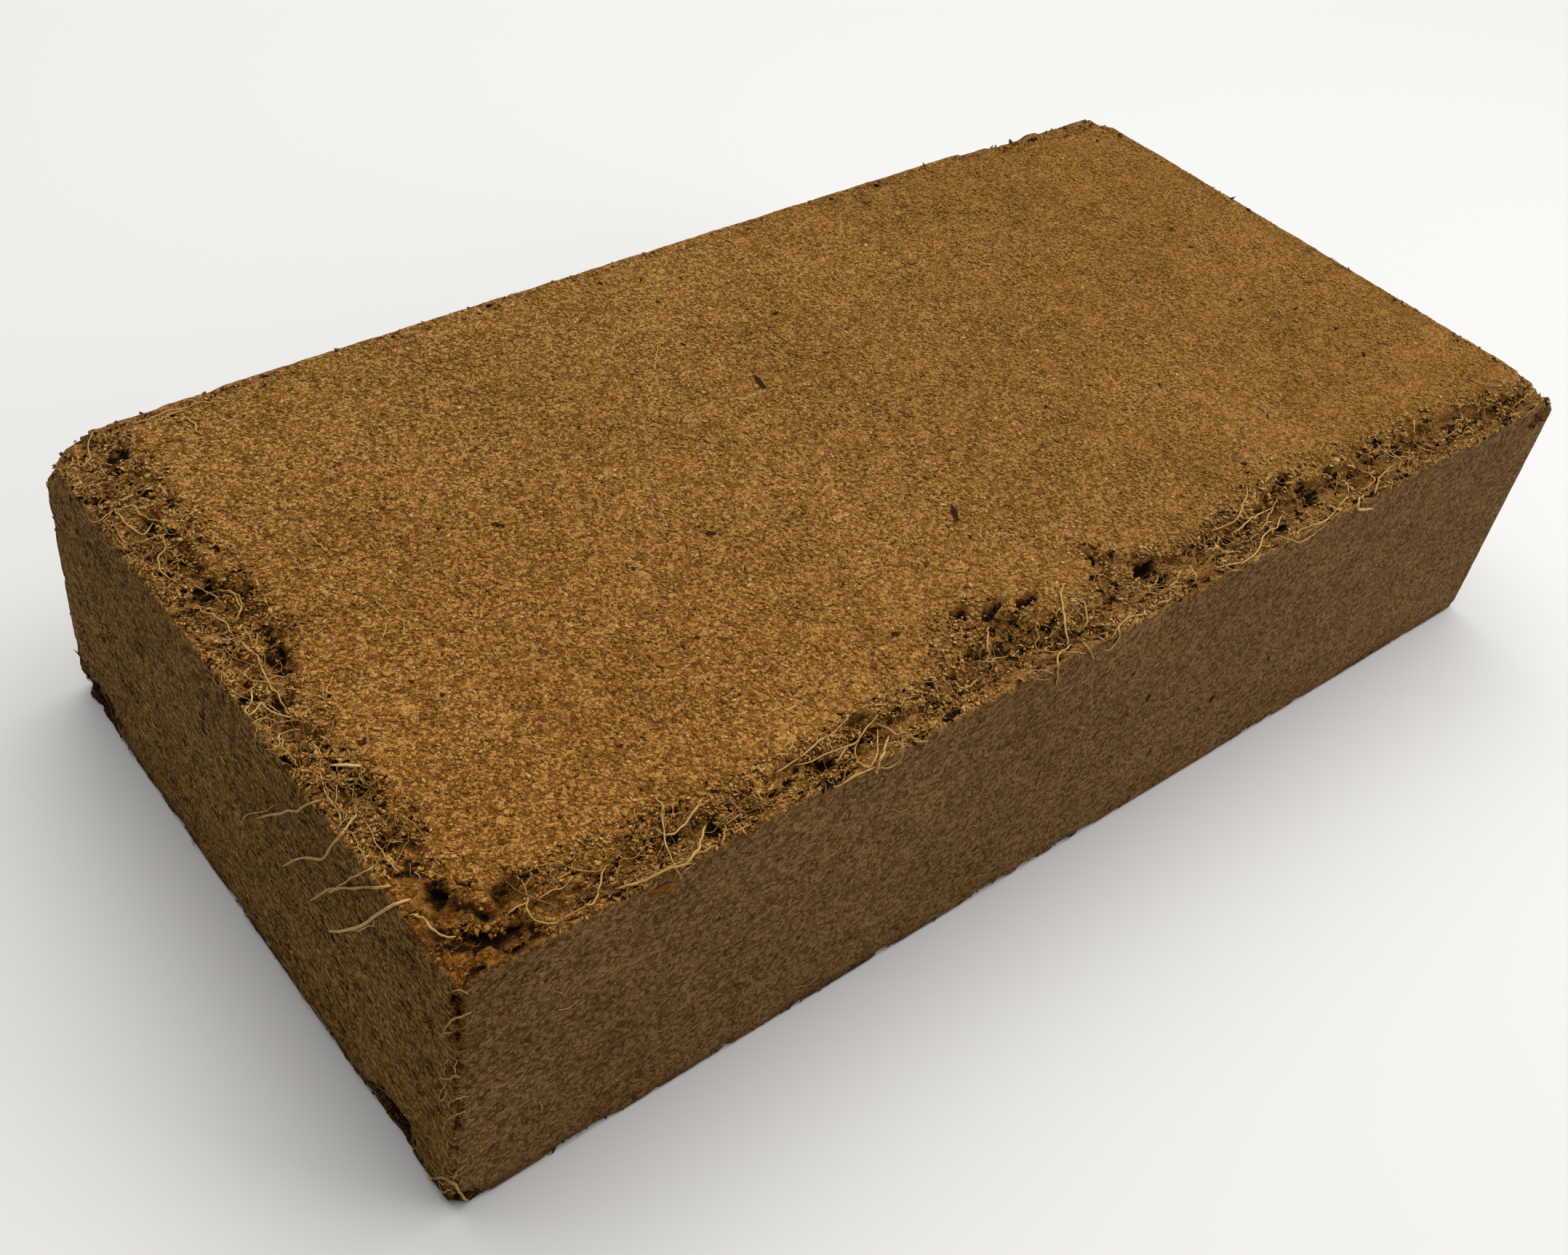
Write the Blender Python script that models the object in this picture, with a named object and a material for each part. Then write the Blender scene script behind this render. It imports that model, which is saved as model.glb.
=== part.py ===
"""A pressed coconut coir bale: one block of coir pith and fibre, crumbled along its top arrises.

The block lies on its widest face. The origin is the middle of the underside, +X runs along the
length, +Y across the width and +Z up. All sizes are in metres.

The block starts as a plain box cut into a grid. Each point of its skin then sinks along a line
towards the sound core of the block, until it leaves the material that has crumbled away. The middles
of the six faces stay where the press left them, so they stay flat.
"""

import itertools
import math

import bmesh
import bpy
import numpy as np

# Driving dimensions of the block.
LENGTH = 0.200
WIDTH = 0.102
HEIGHT = 0.045

# How deep under the skin the sound core starts, which is as far as any crumbling can reach.
CORE_INSET = 0.012
# A pressed arris is worn to about this radius where nothing has broken away.
ARRIS_RADIUS = 0.0008
# The grid of the skin: its usual spacing, the closer lines beside each arris, and the tall side rows.
GRID_STEP = 0.0017
SIDE_ROW = 0.0050
ARRIS_LINES = (0.0006, 0.0016, 0.0032)
# Below 1 a hole has steep sides and a flat floor, at 1 it is a plain bowl.
HOLE_ROUNDNESS = 0.7
# How much less the back and right arrises are nibbled than the others.
CRISP_SHARE = 0.85
# Steps of the search along each line from the skin to the core.
SEARCH_STEPS = 96
# Skin that turns less than this from its neighbour is one flat face.
FLAT_ANGLE = math.radians(0.6)
SMOOTH_ANGLE = math.radians(18.0)

# The crumbled ledges along the top arrises: place along the arris, width over the top face, depth.
FRONT_LEDGE = (
    (-0.100, 0.0070, 0.0009),
    (-0.088, 0.0078, 0.0011),
    (-0.070, 0.0068, 0.0011),
    (-0.056, 0.0054, 0.0009),
    (-0.044, 0.0062, 0.0015),
    (-0.030, 0.0064, 0.0011),
    (-0.022, 0.0118, 0.0016),
    (-0.012, 0.0112, 0.0017),
    (-0.006, 0.0066, 0.0013),
    (0.001, 0.0060, 0.0011),
    (0.005, 0.0122, 0.0018),
    (0.010, 0.0090, 0.0015),
    (0.020, 0.0062, 0.0011),
    (0.033, 0.0088, 0.0015),
    (0.042, 0.0108, 0.0021),
    (0.054, 0.0090, 0.0016),
    (0.068, 0.0084, 0.0015),
    (0.082, 0.0064, 0.0013),
    (0.100, 0.0046, 0.0013),
)
LEFT_LEDGE = (
    (-0.051, 0.0070, 0.0007),
    (-0.040, 0.0074, 0.0009),
    (-0.025, 0.0066, 0.0009),
    (-0.012, 0.0068, 0.0011),
    (0.000, 0.0086, 0.0013),
    (0.011, 0.0096, 0.0016),
    (0.022, 0.0088, 0.0013),
    (0.032, 0.0094, 0.0015),
    (0.042, 0.0090, 0.0012),
    (0.051, 0.0090, 0.0020),
)
BACK_LEDGE = (
    (-0.100, 0.0060, 0.0022),
    (-0.086, 0.0030, 0.0008),
    (-0.060, 0.0020, 0.0002),
    (0.010, 0.0020, 0.0002),
    (0.062, 0.0024, 0.0003),
    (0.074, 0.0040, 0.0012),
    (0.100, 0.0046, 0.0018),
)
RIGHT_LEDGE = (
    (-0.051, 0.0044, 0.0014),
    (-0.040, 0.0020, 0.0002),
    (0.034, 0.0018, 0.0002),
    (0.051, 0.0040, 0.0010),
)

# Holes in the top: centre along X and Y, radii along X and Y, and depth.
TOP_HOLES = (
    (-0.0908, -0.0476, 0.0026, 0.0024, 0.0046),
    (-0.0690, -0.0402, 0.0028, 0.0018, 0.0014),
    (-0.0484, -0.0478, 0.0022, 0.0020, 0.0034),
    (-0.0429, -0.0455, 0.0034, 0.0024, 0.0050),
    (-0.0184, -0.0408, 0.0040, 0.0026, 0.0042),
    (-0.0108, -0.0420, 0.0030, 0.0024, 0.0040),
    (-0.0107, -0.0482, 0.0026, 0.0018, 0.0036),
    (0.0056, -0.0386, 0.0024, 0.0018, 0.0012),
    (0.0080, -0.0464, 0.0030, 0.0022, 0.0038),
    (0.0140, -0.0482, 0.0026, 0.0018, 0.0032),
    (0.0349, -0.0480, 0.0030, 0.0019, 0.0036),
    (0.0415, -0.0452, 0.0040, 0.0030, 0.0056),
    (0.0515, -0.0436, 0.0034, 0.0020, 0.0032),
    (0.0660, -0.0450, 0.0030, 0.0020, 0.0028),
    (0.0780, -0.0458, 0.0032, 0.0018, 0.0030),
    (0.0900, -0.0470, 0.0026, 0.0018, 0.0028),
    (-0.0985, -0.0162, 0.0018, 0.0020, 0.0024),
    (-0.0929, 0.0000, 0.0030, 0.0028, 0.0044),
    (-0.0915, 0.0108, 0.0028, 0.0030, 0.0050),
    (-0.0946, 0.0154, 0.0034, 0.0026, 0.0056),
    (-0.0944, 0.0298, 0.0026, 0.0040, 0.0050),
    (-0.0920, 0.0440, 0.0028, 0.0026, 0.0030),
)
# Holes in the long front face and the short left face: centre along the face and up, radii, depth.
FRONT_HOLES = (
    (-0.0950, 0.0046, 0.0026, 0.0020, 0.0018),
    (-0.0986, 0.0410, 0.0020, 0.0022, 0.0018),
    (0.0960, 0.0415, 0.0022, 0.0022, 0.0020),
)
LEFT_HOLES = (
    (-0.0380, 0.0030, 0.0060, 0.0030, 0.0014),
    (0.0240, 0.0292, 0.0050, 0.0020, 0.0014),
    (0.0440, 0.0030, 0.0070, 0.0034, 0.0012),
    (-0.0450, 0.0310, 0.0030, 0.0024, 0.0014),
)
# Corners worn away by a slanted cut: the corner's signs along X and Y, its height, and the cut's depth.
WORN_CORNERS = (
    (-1, -1, HEIGHT, 0.0014),
    (-1, 1, HEIGHT, 0.0040),
    (1, -1, HEIGHT, 0.0018),
    (1, 1, HEIGHT, 0.0010),
    (-1, -1, 0.0, 0.0014),
    (-1, 1, 0.0, 0.0018),
    (1, -1, 0.0, 0.0012),
    (1, 1, 0.0, 0.0020),
)

HALF = np.array((LENGTH / 2, WIDTH / 2, HEIGHT / 2))
MIDDLE = np.array((0.0, 0.0, HEIGHT / 2))


def clear_scene():
    """Removes the objects that a new file opens with."""
    for thing in list(bpy.data.objects):
        bpy.data.objects.remove(thing)


def scatter(cells, seed):
    """A steady random number from 0 to 1 for each whole-numbered lattice cell."""
    mix = cells @ np.array((127.1, 311.7, 74.7)) + seed * 19.19
    wave = np.sin(mix) * 43758.5453
    return wave - np.floor(wave)


def lumps(points, cell, seed):
    """Smooth noise from -1 to 1: random numbers on a lattice of that cell, eased between its corners."""
    place = points / cell + 37.5
    base = np.floor(place)
    ease = (place - base) ** 2 * (3 - 2 * (place - base))
    total = np.zeros(len(points))
    for corner in itertools.product((0, 1), repeat=3):
        share = np.where(np.array(corner) == 1, ease, 1 - ease).prod(axis=1)
        total += share * scatter(base + corner, seed)
    return total * 2 - 1


def soft_step(value, low, high):
    """0 below low, 1 above high, eased between them."""
    part = np.clip((value - low) / (high - low), 0, 1)
    return part * part * (3 - 2 * part)


def ledge_depth(points, along, across, profile, rim, roughness, seed):
    """Depth below the top face of a crumbled ledge.

    It falls steeply at a ragged inner wall, and its bed is lumpy by the roughness. Rim is the share
    of the depth that is left beside the arris.
    """
    places, widths, depths = zip(*profile)
    ragged = 1 + 0.40 * lumps(points, 0.0072, seed) + 0.25 * lumps(points, 0.0041, seed + 1)
    reach = across / (np.interp(along, places, widths) * ragged)
    bed = rim + (1 - rim) * soft_step(reach, 0.0, 0.5)
    wall = 1 - soft_step(reach, 0.55, 1.05)
    lumpy = 0.90 * lumps(points, 0.0056, seed + 2) + 0.60 * lumps(points, 0.0039, seed + 3)
    return np.interp(along, places, depths) * bed * wall * np.clip(1 + roughness * lumpy, 0, None)


def hole_depth(points, along, across, holes):
    """Depth of the deepest of the listed holes, each a bowl with ragged sides."""
    ragged = 1 + 0.45 * lumps(points, 0.0040, 71)
    deepest = np.zeros(len(along))
    for place, height, radius, reach, depth in holes:
        away = ragged * np.hypot((along - place) / radius, (across - height) / reach)
        bowl = np.clip(1 - away**2, 0, 1) ** HOLE_ROUNDNESS
        deepest = np.maximum(deepest, depth * bowl)
    return deepest


def solid_left(points):
    """How deep each point is inside the material that is left; below zero it has crumbled away."""
    x, y, z = points.T
    from_faces = HALF - np.abs(points - MIDDLE)
    over_radius = np.clip(ARRIS_RADIUS - from_faces, 0, None)
    left = ARRIS_RADIUS - np.linalg.norm(over_radius, axis=1)

    below_top = HEIGHT - z
    top = np.maximum.reduce(
        [
            ledge_depth(points, x, y + WIDTH / 2, FRONT_LEDGE, 0.35, 1.0, 11),
            ledge_depth(points, y, x + LENGTH / 2, LEFT_LEDGE, 0.35, 1.0, 21),
            ledge_depth(points, x, WIDTH / 2 - y, BACK_LEDGE, 1.0, 0.4, 31),
            ledge_depth(points, y, LENGTH / 2 - x, RIGHT_LEDGE, 1.0, 0.4, 41),
            hole_depth(points, x, y, TOP_HOLES),
        ]
    )
    left = np.minimum(left, below_top - top)
    left = np.minimum(left, y + WIDTH / 2 - hole_depth(points, x, z, FRONT_HOLES))
    left = np.minimum(left, x + LENGTH / 2 - hole_depth(points, y, z, LEFT_HOLES))

    # Nibbled arrises: the sum of the two smallest depths under the faces is the depth under a bevel.
    shallow = np.sort(from_faces, axis=1)
    nibble = 0.0004 + 0.0008 * lumps(points, 0.0090, 51) + 0.0005 * lumps(points, 0.0045, 52)
    nibble *= 1 - CRISP_SHARE * np.maximum(soft_step(x, 0.080, 0.095), soft_step(y, 0.030, 0.046))
    left = np.minimum(left, (shallow[:, 0] + shallow[:, 1] - nibble) / math.sqrt(2))

    chipped = 1 + 0.35 * lumps(points, 0.0055, 61)
    for side_x, side_y, height, depth in WORN_CORNERS:
        corner = np.array((side_x * LENGTH / 2, side_y * WIDTH / 2, height))
        under = np.abs(points - corner).sum(axis=1) - depth * chipped * math.sqrt(3)
        left = np.minimum(left, under / math.sqrt(3))
    return left


def crumble(skin):
    """Moves each point of the box's skin along its line to the core, out of what has crumbled away."""
    core = MIDDLE + np.clip(skin - MIDDLE, CORE_INSET - HALF, HALF - CORE_INSET)
    line = core - skin
    settled = np.zeros(len(skin))
    gone = solid_left(skin) < -1e-6
    for step in range(1, SEARCH_STEPS + 1):
        share = step / SEARCH_STEPS
        settled[gone] = share
        gone[gone] = solid_left(skin[gone] + share * line[gone]) < 0
    return skin + settled[:, None] * line


def stations(extent, step):
    """Grid lines across a side of that extent: close beside both ends, evenly spaced between them."""
    ends = list(ARRIS_LINES)
    first = ends[-1]
    count = round((extent - 2 * first) / step)
    between = [first + (extent - 2 * first) * i / count for i in range(1, count)]
    return ends + between + [extent - line for line in reversed(ends)]


def gridded_box(mesh):
    """A plain box with every face cut into the grid of the skin."""
    bmesh.ops.create_cube(mesh, size=1.0)
    bmesh.ops.scale(mesh, vec=(LENGTH, WIDTH, HEIGHT), verts=mesh.verts)
    bmesh.ops.translate(mesh, vec=(0, 0, HEIGHT / 2), verts=mesh.verts)
    low = (-LENGTH / 2, -WIDTH / 2, 0.0)
    steps = (GRID_STEP, GRID_STEP, SIDE_ROW)
    for axis, extent in enumerate((LENGTH, WIDTH, HEIGHT)):
        normal = [0.0, 0.0, 0.0]
        normal[axis] = 1.0
        for place in stations(extent, steps[axis]):
            point = [0.0, 0.0, 0.0]
            point[axis] = low[axis] + place
            parts = mesh.verts[:] + mesh.edges[:] + mesh.faces[:]
            bmesh.ops.bisect_plane(mesh, geom=parts, plane_co=point, plane_no=normal, dist=1e-7)


def coir_material():
    """Dry pressed coir: matt, mid brown."""
    material = bpy.data.materials.new("pressed_coir")
    material.use_nodes = True
    finish = material.node_tree.nodes["Principled BSDF"]
    finish.inputs["Base Color"].default_value = (0.230, 0.112, 0.038, 1.0)
    finish.inputs["Roughness"].default_value = 0.95
    finish.inputs["Metallic"].default_value = 0.0
    return material


def build_bale():
    """The whole bale as one closed body."""
    mesh = bmesh.new()
    gridded_box(mesh)
    mesh.verts.ensure_lookup_table()
    skin = np.array([vert.co for vert in mesh.verts])
    for vert, place in zip(mesh.verts, crumble(skin)):
        vert.co = place
    bmesh.ops.dissolve_limit(
        mesh, angle_limit=FLAT_ANGLE, verts=mesh.verts[:], edges=mesh.edges[:]
    )
    bmesh.ops.triangulate(mesh, faces=mesh.faces[:])
    bmesh.ops.recalc_face_normals(mesh, faces=mesh.faces[:])

    data = bpy.data.meshes.new("coir_bale")
    mesh.to_mesh(data)
    mesh.free()
    data.shade_smooth()
    data.set_sharp_from_angle(angle=SMOOTH_ANGLE)
    data.materials.append(coir_material())
    bale = bpy.data.objects.new("coir_bale", data)
    bpy.context.scene.collection.objects.link(bale)
    return bale


clear_scene()
build_bale()
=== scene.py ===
"""The looks of a pressed coconut coir bale: grainy faces, crumbled arrises, loose fibres and crumbs.

All sizes are in metres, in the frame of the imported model: the origin is the middle of the underside,
+X runs along the length, +Y across the width and +Z up.
"""

import itertools
import math

import bpy
import numpy as np
from mathutils import Euler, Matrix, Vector


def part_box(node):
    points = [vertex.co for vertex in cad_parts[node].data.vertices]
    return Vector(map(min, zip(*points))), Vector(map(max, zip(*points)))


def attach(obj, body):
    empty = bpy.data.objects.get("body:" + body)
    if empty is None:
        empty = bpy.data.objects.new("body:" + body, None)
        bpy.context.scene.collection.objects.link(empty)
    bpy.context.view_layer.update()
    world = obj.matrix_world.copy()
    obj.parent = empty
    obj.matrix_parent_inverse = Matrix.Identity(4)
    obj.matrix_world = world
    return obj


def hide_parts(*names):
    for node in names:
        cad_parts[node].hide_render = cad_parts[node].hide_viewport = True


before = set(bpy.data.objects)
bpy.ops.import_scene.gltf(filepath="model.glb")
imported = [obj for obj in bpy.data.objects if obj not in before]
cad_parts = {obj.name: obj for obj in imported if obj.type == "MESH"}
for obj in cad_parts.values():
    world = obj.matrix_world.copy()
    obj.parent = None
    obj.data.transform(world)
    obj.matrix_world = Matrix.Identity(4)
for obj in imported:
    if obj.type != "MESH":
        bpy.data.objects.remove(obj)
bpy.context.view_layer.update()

BODY = "root"
NODE = "coir_bale"

LOW, HIGH = (np.array(corner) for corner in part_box(NODE))
LENGTH, WIDTH, HEIGHT = HIGH - LOW
HALF = (HIGH - LOW) / 2
MIDDLE = (HIGH + LOW) / 2

# The camera, found from the straight edges in the photograph.
PHOTO_SIZE = (2156, 1725)
CAMERA_PLACE = (-0.15739, -0.14209, 0.19481)
CAMERA_TURN = (47.085, -6.07, -38.034)
CAMERA_LENS = 41.477
SENSOR = 36.0
CAMERA_SHIFT = 0.0371

# Wear of the block: how far inside its core lies, the arris radius, the power that rounds a hole's
# walls, how much crisper the far arrises are, and how far below the top the wear is looked for.
CORE_INSET = 0.012
ARRIS_RADIUS = 0.0008
HOLE_ROUNDNESS = 0.7
CRISP_SHARE = 0.85
DEEPEST_LEDGE = 0.012
# Steps to the place where a way in meets the block, and how often the last step is halved.
SEARCH_STEPS = 30
HALVINGS = 6

# The crumbled ledges along the top arrises: place along the arris, width over the top face, depth.
FRONT_LEDGE = (
    (-0.100, 0.0070, 0.0009),
    (-0.088, 0.0078, 0.0011),
    (-0.070, 0.0068, 0.0011),
    (-0.056, 0.0054, 0.0009),
    (-0.044, 0.0062, 0.0015),
    (-0.030, 0.0064, 0.0011),
    (-0.022, 0.0118, 0.0016),
    (-0.012, 0.0112, 0.0017),
    (-0.006, 0.0066, 0.0013),
    (0.001, 0.0060, 0.0011),
    (0.005, 0.0122, 0.0018),
    (0.010, 0.0090, 0.0015),
    (0.020, 0.0062, 0.0011),
    (0.033, 0.0088, 0.0015),
    (0.042, 0.0108, 0.0021),
    (0.054, 0.0090, 0.0016),
    (0.068, 0.0084, 0.0015),
    (0.082, 0.0064, 0.0013),
    (0.100, 0.0046, 0.0013),
)
LEFT_LEDGE = (
    (-0.051, 0.0070, 0.0007),
    (-0.040, 0.0074, 0.0009),
    (-0.025, 0.0066, 0.0009),
    (-0.012, 0.0068, 0.0011),
    (0.000, 0.0086, 0.0013),
    (0.011, 0.0096, 0.0016),
    (0.022, 0.0088, 0.0013),
    (0.032, 0.0094, 0.0015),
    (0.042, 0.0090, 0.0012),
    (0.051, 0.0090, 0.0020),
)
BACK_LEDGE = (
    (-0.100, 0.0060, 0.0022),
    (-0.086, 0.0030, 0.0008),
    (-0.060, 0.0020, 0.0002),
    (0.010, 0.0020, 0.0002),
    (0.062, 0.0024, 0.0003),
    (0.074, 0.0040, 0.0012),
    (0.100, 0.0046, 0.0018),
)
RIGHT_LEDGE = (
    (-0.051, 0.0044, 0.0014),
    (-0.040, 0.0020, 0.0002),
    (0.034, 0.0018, 0.0002),
    (0.051, 0.0040, 0.0010),
)

# Holes in the top: centre along X and Y, radii along X and Y, and depth.
TOP_HOLES = (
    (-0.0904, -0.0481, 0.0019, 0.0015, 0.0040),
    (-0.0690, -0.0402, 0.0013, 0.0009, 0.0006),
    (-0.0656, -0.0489, 0.0012, 0.0012, 0.0030),
    (-0.0484, -0.0478, 0.0013, 0.0012, 0.0028),
    (-0.0415, -0.0451, 0.0017, 0.0013, 0.0042),
    (-0.0436, -0.0480, 0.0012, 0.0010, 0.0034),
    (-0.0174, -0.0376, 0.0019, 0.0010, 0.0026),
    (-0.0124, -0.0388, 0.0021, 0.0009, 0.0026),
    (-0.0090, -0.0404, 0.0019, 0.0009, 0.0032),
    (-0.0153, -0.0437, 0.0016, 0.0010, 0.0026),
    (-0.0165, -0.0470, 0.0014, 0.0010, 0.0030),
    (-0.0122, -0.0492, 0.0012, 0.0009, 0.0028),
    (-0.0056, -0.0496, 0.0016, 0.0009, 0.0030),
    (0.0056, -0.0386, 0.0012, 0.0008, 0.0012),
    (0.0110, -0.0439, 0.0019, 0.0012, 0.0032),
    (0.0124, -0.0462, 0.0016, 0.0010, 0.0034),
    (0.0136, -0.0495, 0.0012, 0.0010, 0.0028),
    (0.0349, -0.0480, 0.0018, 0.0012, 0.0030),
    (0.0438, -0.0451, 0.0025, 0.0019, 0.0048),
    (0.0427, -0.0416, 0.0014, 0.0010, 0.0030),
    (0.0504, -0.0440, 0.0019, 0.0011, 0.0030),
    (0.0515, -0.0497, 0.0014, 0.0009, 0.0028),
    (0.0660, -0.0450, 0.0018, 0.0011, 0.0024),
    (0.0780, -0.0458, 0.0018, 0.0010, 0.0024),
    (0.0900, -0.0470, 0.0016, 0.0010, 0.0024),
    (-0.0963, -0.0391, 0.0007, 0.0010, 0.0024),
    (-0.0959, -0.0353, 0.0010, 0.0010, 0.0026),
    (-0.0960, -0.0302, 0.0009, 0.0010, 0.0024),
    (-0.0970, -0.0236, 0.0009, 0.0010, 0.0022),
    (-0.0991, -0.0162, 0.0010, 0.0012, 0.0020),
    (-0.0925, 0.0007, 0.0015, 0.0010, 0.0034),
    (-0.0959, -0.0065, 0.0011, 0.0013, 0.0032),
    (-0.0981, -0.0027, 0.0010, 0.0011, 0.0028),
    (-0.0904, 0.0122, 0.0013, 0.0010, 0.0032),
    (-0.0946, 0.0154, 0.0016, 0.0011, 0.0036),
    (-0.0944, 0.0298, 0.0013, 0.0019, 0.0036),
    (-0.0920, 0.0440, 0.0017, 0.0015, 0.0028),
)
# Holes in the long front face and the short left face: centre along the face and up, radii, depth.
FRONT_HOLES = (
    (-0.0984, 0.0022, 0.0020, 0.0011, 0.0014),
    (-0.1003, 0.0408, 0.0014, 0.0019, 0.0020),
    (-0.0999, 0.0345, 0.0012, 0.0012, 0.0009),
    (-0.1001, 0.0298, 0.0008, 0.0026, 0.0007),
    (-0.1001, 0.0226, 0.0006, 0.0012, 0.0006),
    (-0.0999, 0.0176, 0.0009, 0.0012, 0.0008),
    (-0.1001, 0.0134, 0.0007, 0.0013, 0.0006),
    (-0.1000, 0.0084, 0.0007, 0.0013, 0.0007),
    (0.0960, 0.0415, 0.0022, 0.0022, 0.0020),
)
LEFT_HOLES = (
    (-0.0380, 0.0030, 0.0060, 0.0030, 0.0014),
    (0.0240, 0.0292, 0.0034, 0.0011, 0.0004),
    (0.0440, 0.0030, 0.0070, 0.0034, 0.0012),
    (-0.0450, 0.0310, 0.0016, 0.0020, 0.0005),
)
# Corners worn away by a slanted cut: the corner's signs along X and Y, its height, and the cut's depth.
WORN_CORNERS = (
    (-1, -1, HEIGHT, 0.0014),
    (-1, 1, HEIGHT, 0.0040),
    (1, -1, HEIGHT, 0.0018),
    (1, 1, HEIGHT, 0.0010),
    (-1, -1, 0.0, 0.0014),
    (-1, 1, 0.0, 0.0018),
    (1, -1, 0.0, 0.0012),
    (1, 1, 0.0, 0.0020),
)

# Spacing of the block's grid lines: where a stretch starts and ends, and the step in it.
LINES_X = (
    (-0.100, -0.0995, 0.00025),
    (-0.0995, -0.088, 0.00058),
    (-0.088, 0.0995, 0.00086),
    (0.0995, 0.100, 0.00025),
)
LINES_Y = (
    (-0.051, -0.0505, 0.00025),
    (-0.0505, -0.038, 0.00056),
    (-0.038, 0.0505, 0.00095),
    (0.0505, 0.051, 0.00025),
)
LINES_Z = (
    (0.0, 0.0005, 0.00025),
    (0.0005, 0.036, 0.00110),
    (0.036, 0.0445, 0.00060),
    (0.0445, 0.045, 0.00025),
)
# Over this distance from an arris, the grain of one face passes into the other's.
FACE_BLEND = 0.0012
# Grains and crumbs stay out of a hole deeper than the first, and out of clump gaps past that share.
OPEN_HOLE = 0.0009
OPEN_GAP = 0.4


# What mixes a lattice cell and a seed into a number, how far its sine is drawn out, and the shift that
# keeps the lattice off the block's middle.
CELL_MIX = np.array((127.1, 311.7, 74.7))
SEED_MIX = 19.19
SINE_REACH = 43758.5453
LATTICE_SHIFT = 37.5


def scatter(cells, seed):
    """A steady random number from 0 to 1 for each whole-numbered lattice cell: the end of a long sine."""
    wave = np.sin(cells @ CELL_MIX + seed * SEED_MIX) * SINE_REACH
    return wave - np.floor(wave)


def lumps(points, cell, seed):
    """Smooth noise from -1 to 1: random numbers on a lattice of that cell, eased between its corners."""
    place = points / cell + LATTICE_SHIFT
    base = np.floor(place)
    ease = (place - base) ** 2 * (3 - 2 * (place - base))
    total = np.zeros(len(points))
    for corner in itertools.product((0, 1), repeat=3):
        share = np.where(np.array(corner) == 1, ease, 1 - ease).prod(axis=1)
        total += share * scatter(base + corner, seed)
    return total * 2 - 1


def soft_step(value, low, high):
    """0 below low, 1 above high, eased between them."""
    part = np.clip((value - low) / (high - low), 0, 1)
    return part * part * (3 - 2 * part)


def ledge_depth(points, along, across, profile, rim, roughness, seed):
    """Depth below the top face of a crumbled ledge.

    Depth = profile depth * bed * wall * (1 + roughness * lumpy): the bed rises to the share rim
    beside the arris, the wall ends the ledge at a ragged width, and lumpy is four sizes of lumps.
    """
    places, widths, depths = zip(*profile)
    depth = np.zeros(len(points))
    near = across < 2 * max(widths)
    points, along, across = points[near], along[near], across[near]
    ragged = 1 + 0.40 * lumps(points, 0.0072, seed) + 0.25 * lumps(points, 0.0041, seed + 1)
    ragged += 0.16 * lumps(points, 0.0019, seed + 4)
    reach = across / (np.interp(along, places, widths) * ragged)
    bed = rim + (1 - rim) * soft_step(reach, 0.0, 0.5)
    wall = 1 - soft_step(reach, 0.55, 1.05)
    lumpy = 0.90 * lumps(points, 0.0056, seed + 2) + 0.60 * lumps(points, 0.0039, seed + 3)
    lumpy += 0.45 * lumps(points, 0.0023, seed + 5) + 0.30 * lumps(points, 0.0013, seed + 6)
    depth[near] = np.interp(along, places, depths) * bed * wall * np.clip(1 + roughness * lumpy, 0, None)
    return depth


def hole_depth(points, along, across, holes):
    """Depth of the deepest of the listed holes: depth * (1 - r^2) ^ HOLE_ROUNDNESS.

    Here r is 0 at the hole's centre and 1 at its rim, times 1 and two sizes of fine lumps.
    """
    ragged = 1 + 0.30 * lumps(points, 0.0018, 71) + 0.25 * lumps(points, 0.0009, 72)
    deepest = np.zeros(len(along))
    for place, height, radius, reach, depth in holes:
        away = ragged * np.hypot((along - place) / radius, (across - height) / reach)
        bowl = np.clip(1 - away**2, 0, 1) ** HOLE_ROUNDNESS
        deepest = np.maximum(deepest, depth * bowl)
    return deepest


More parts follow.
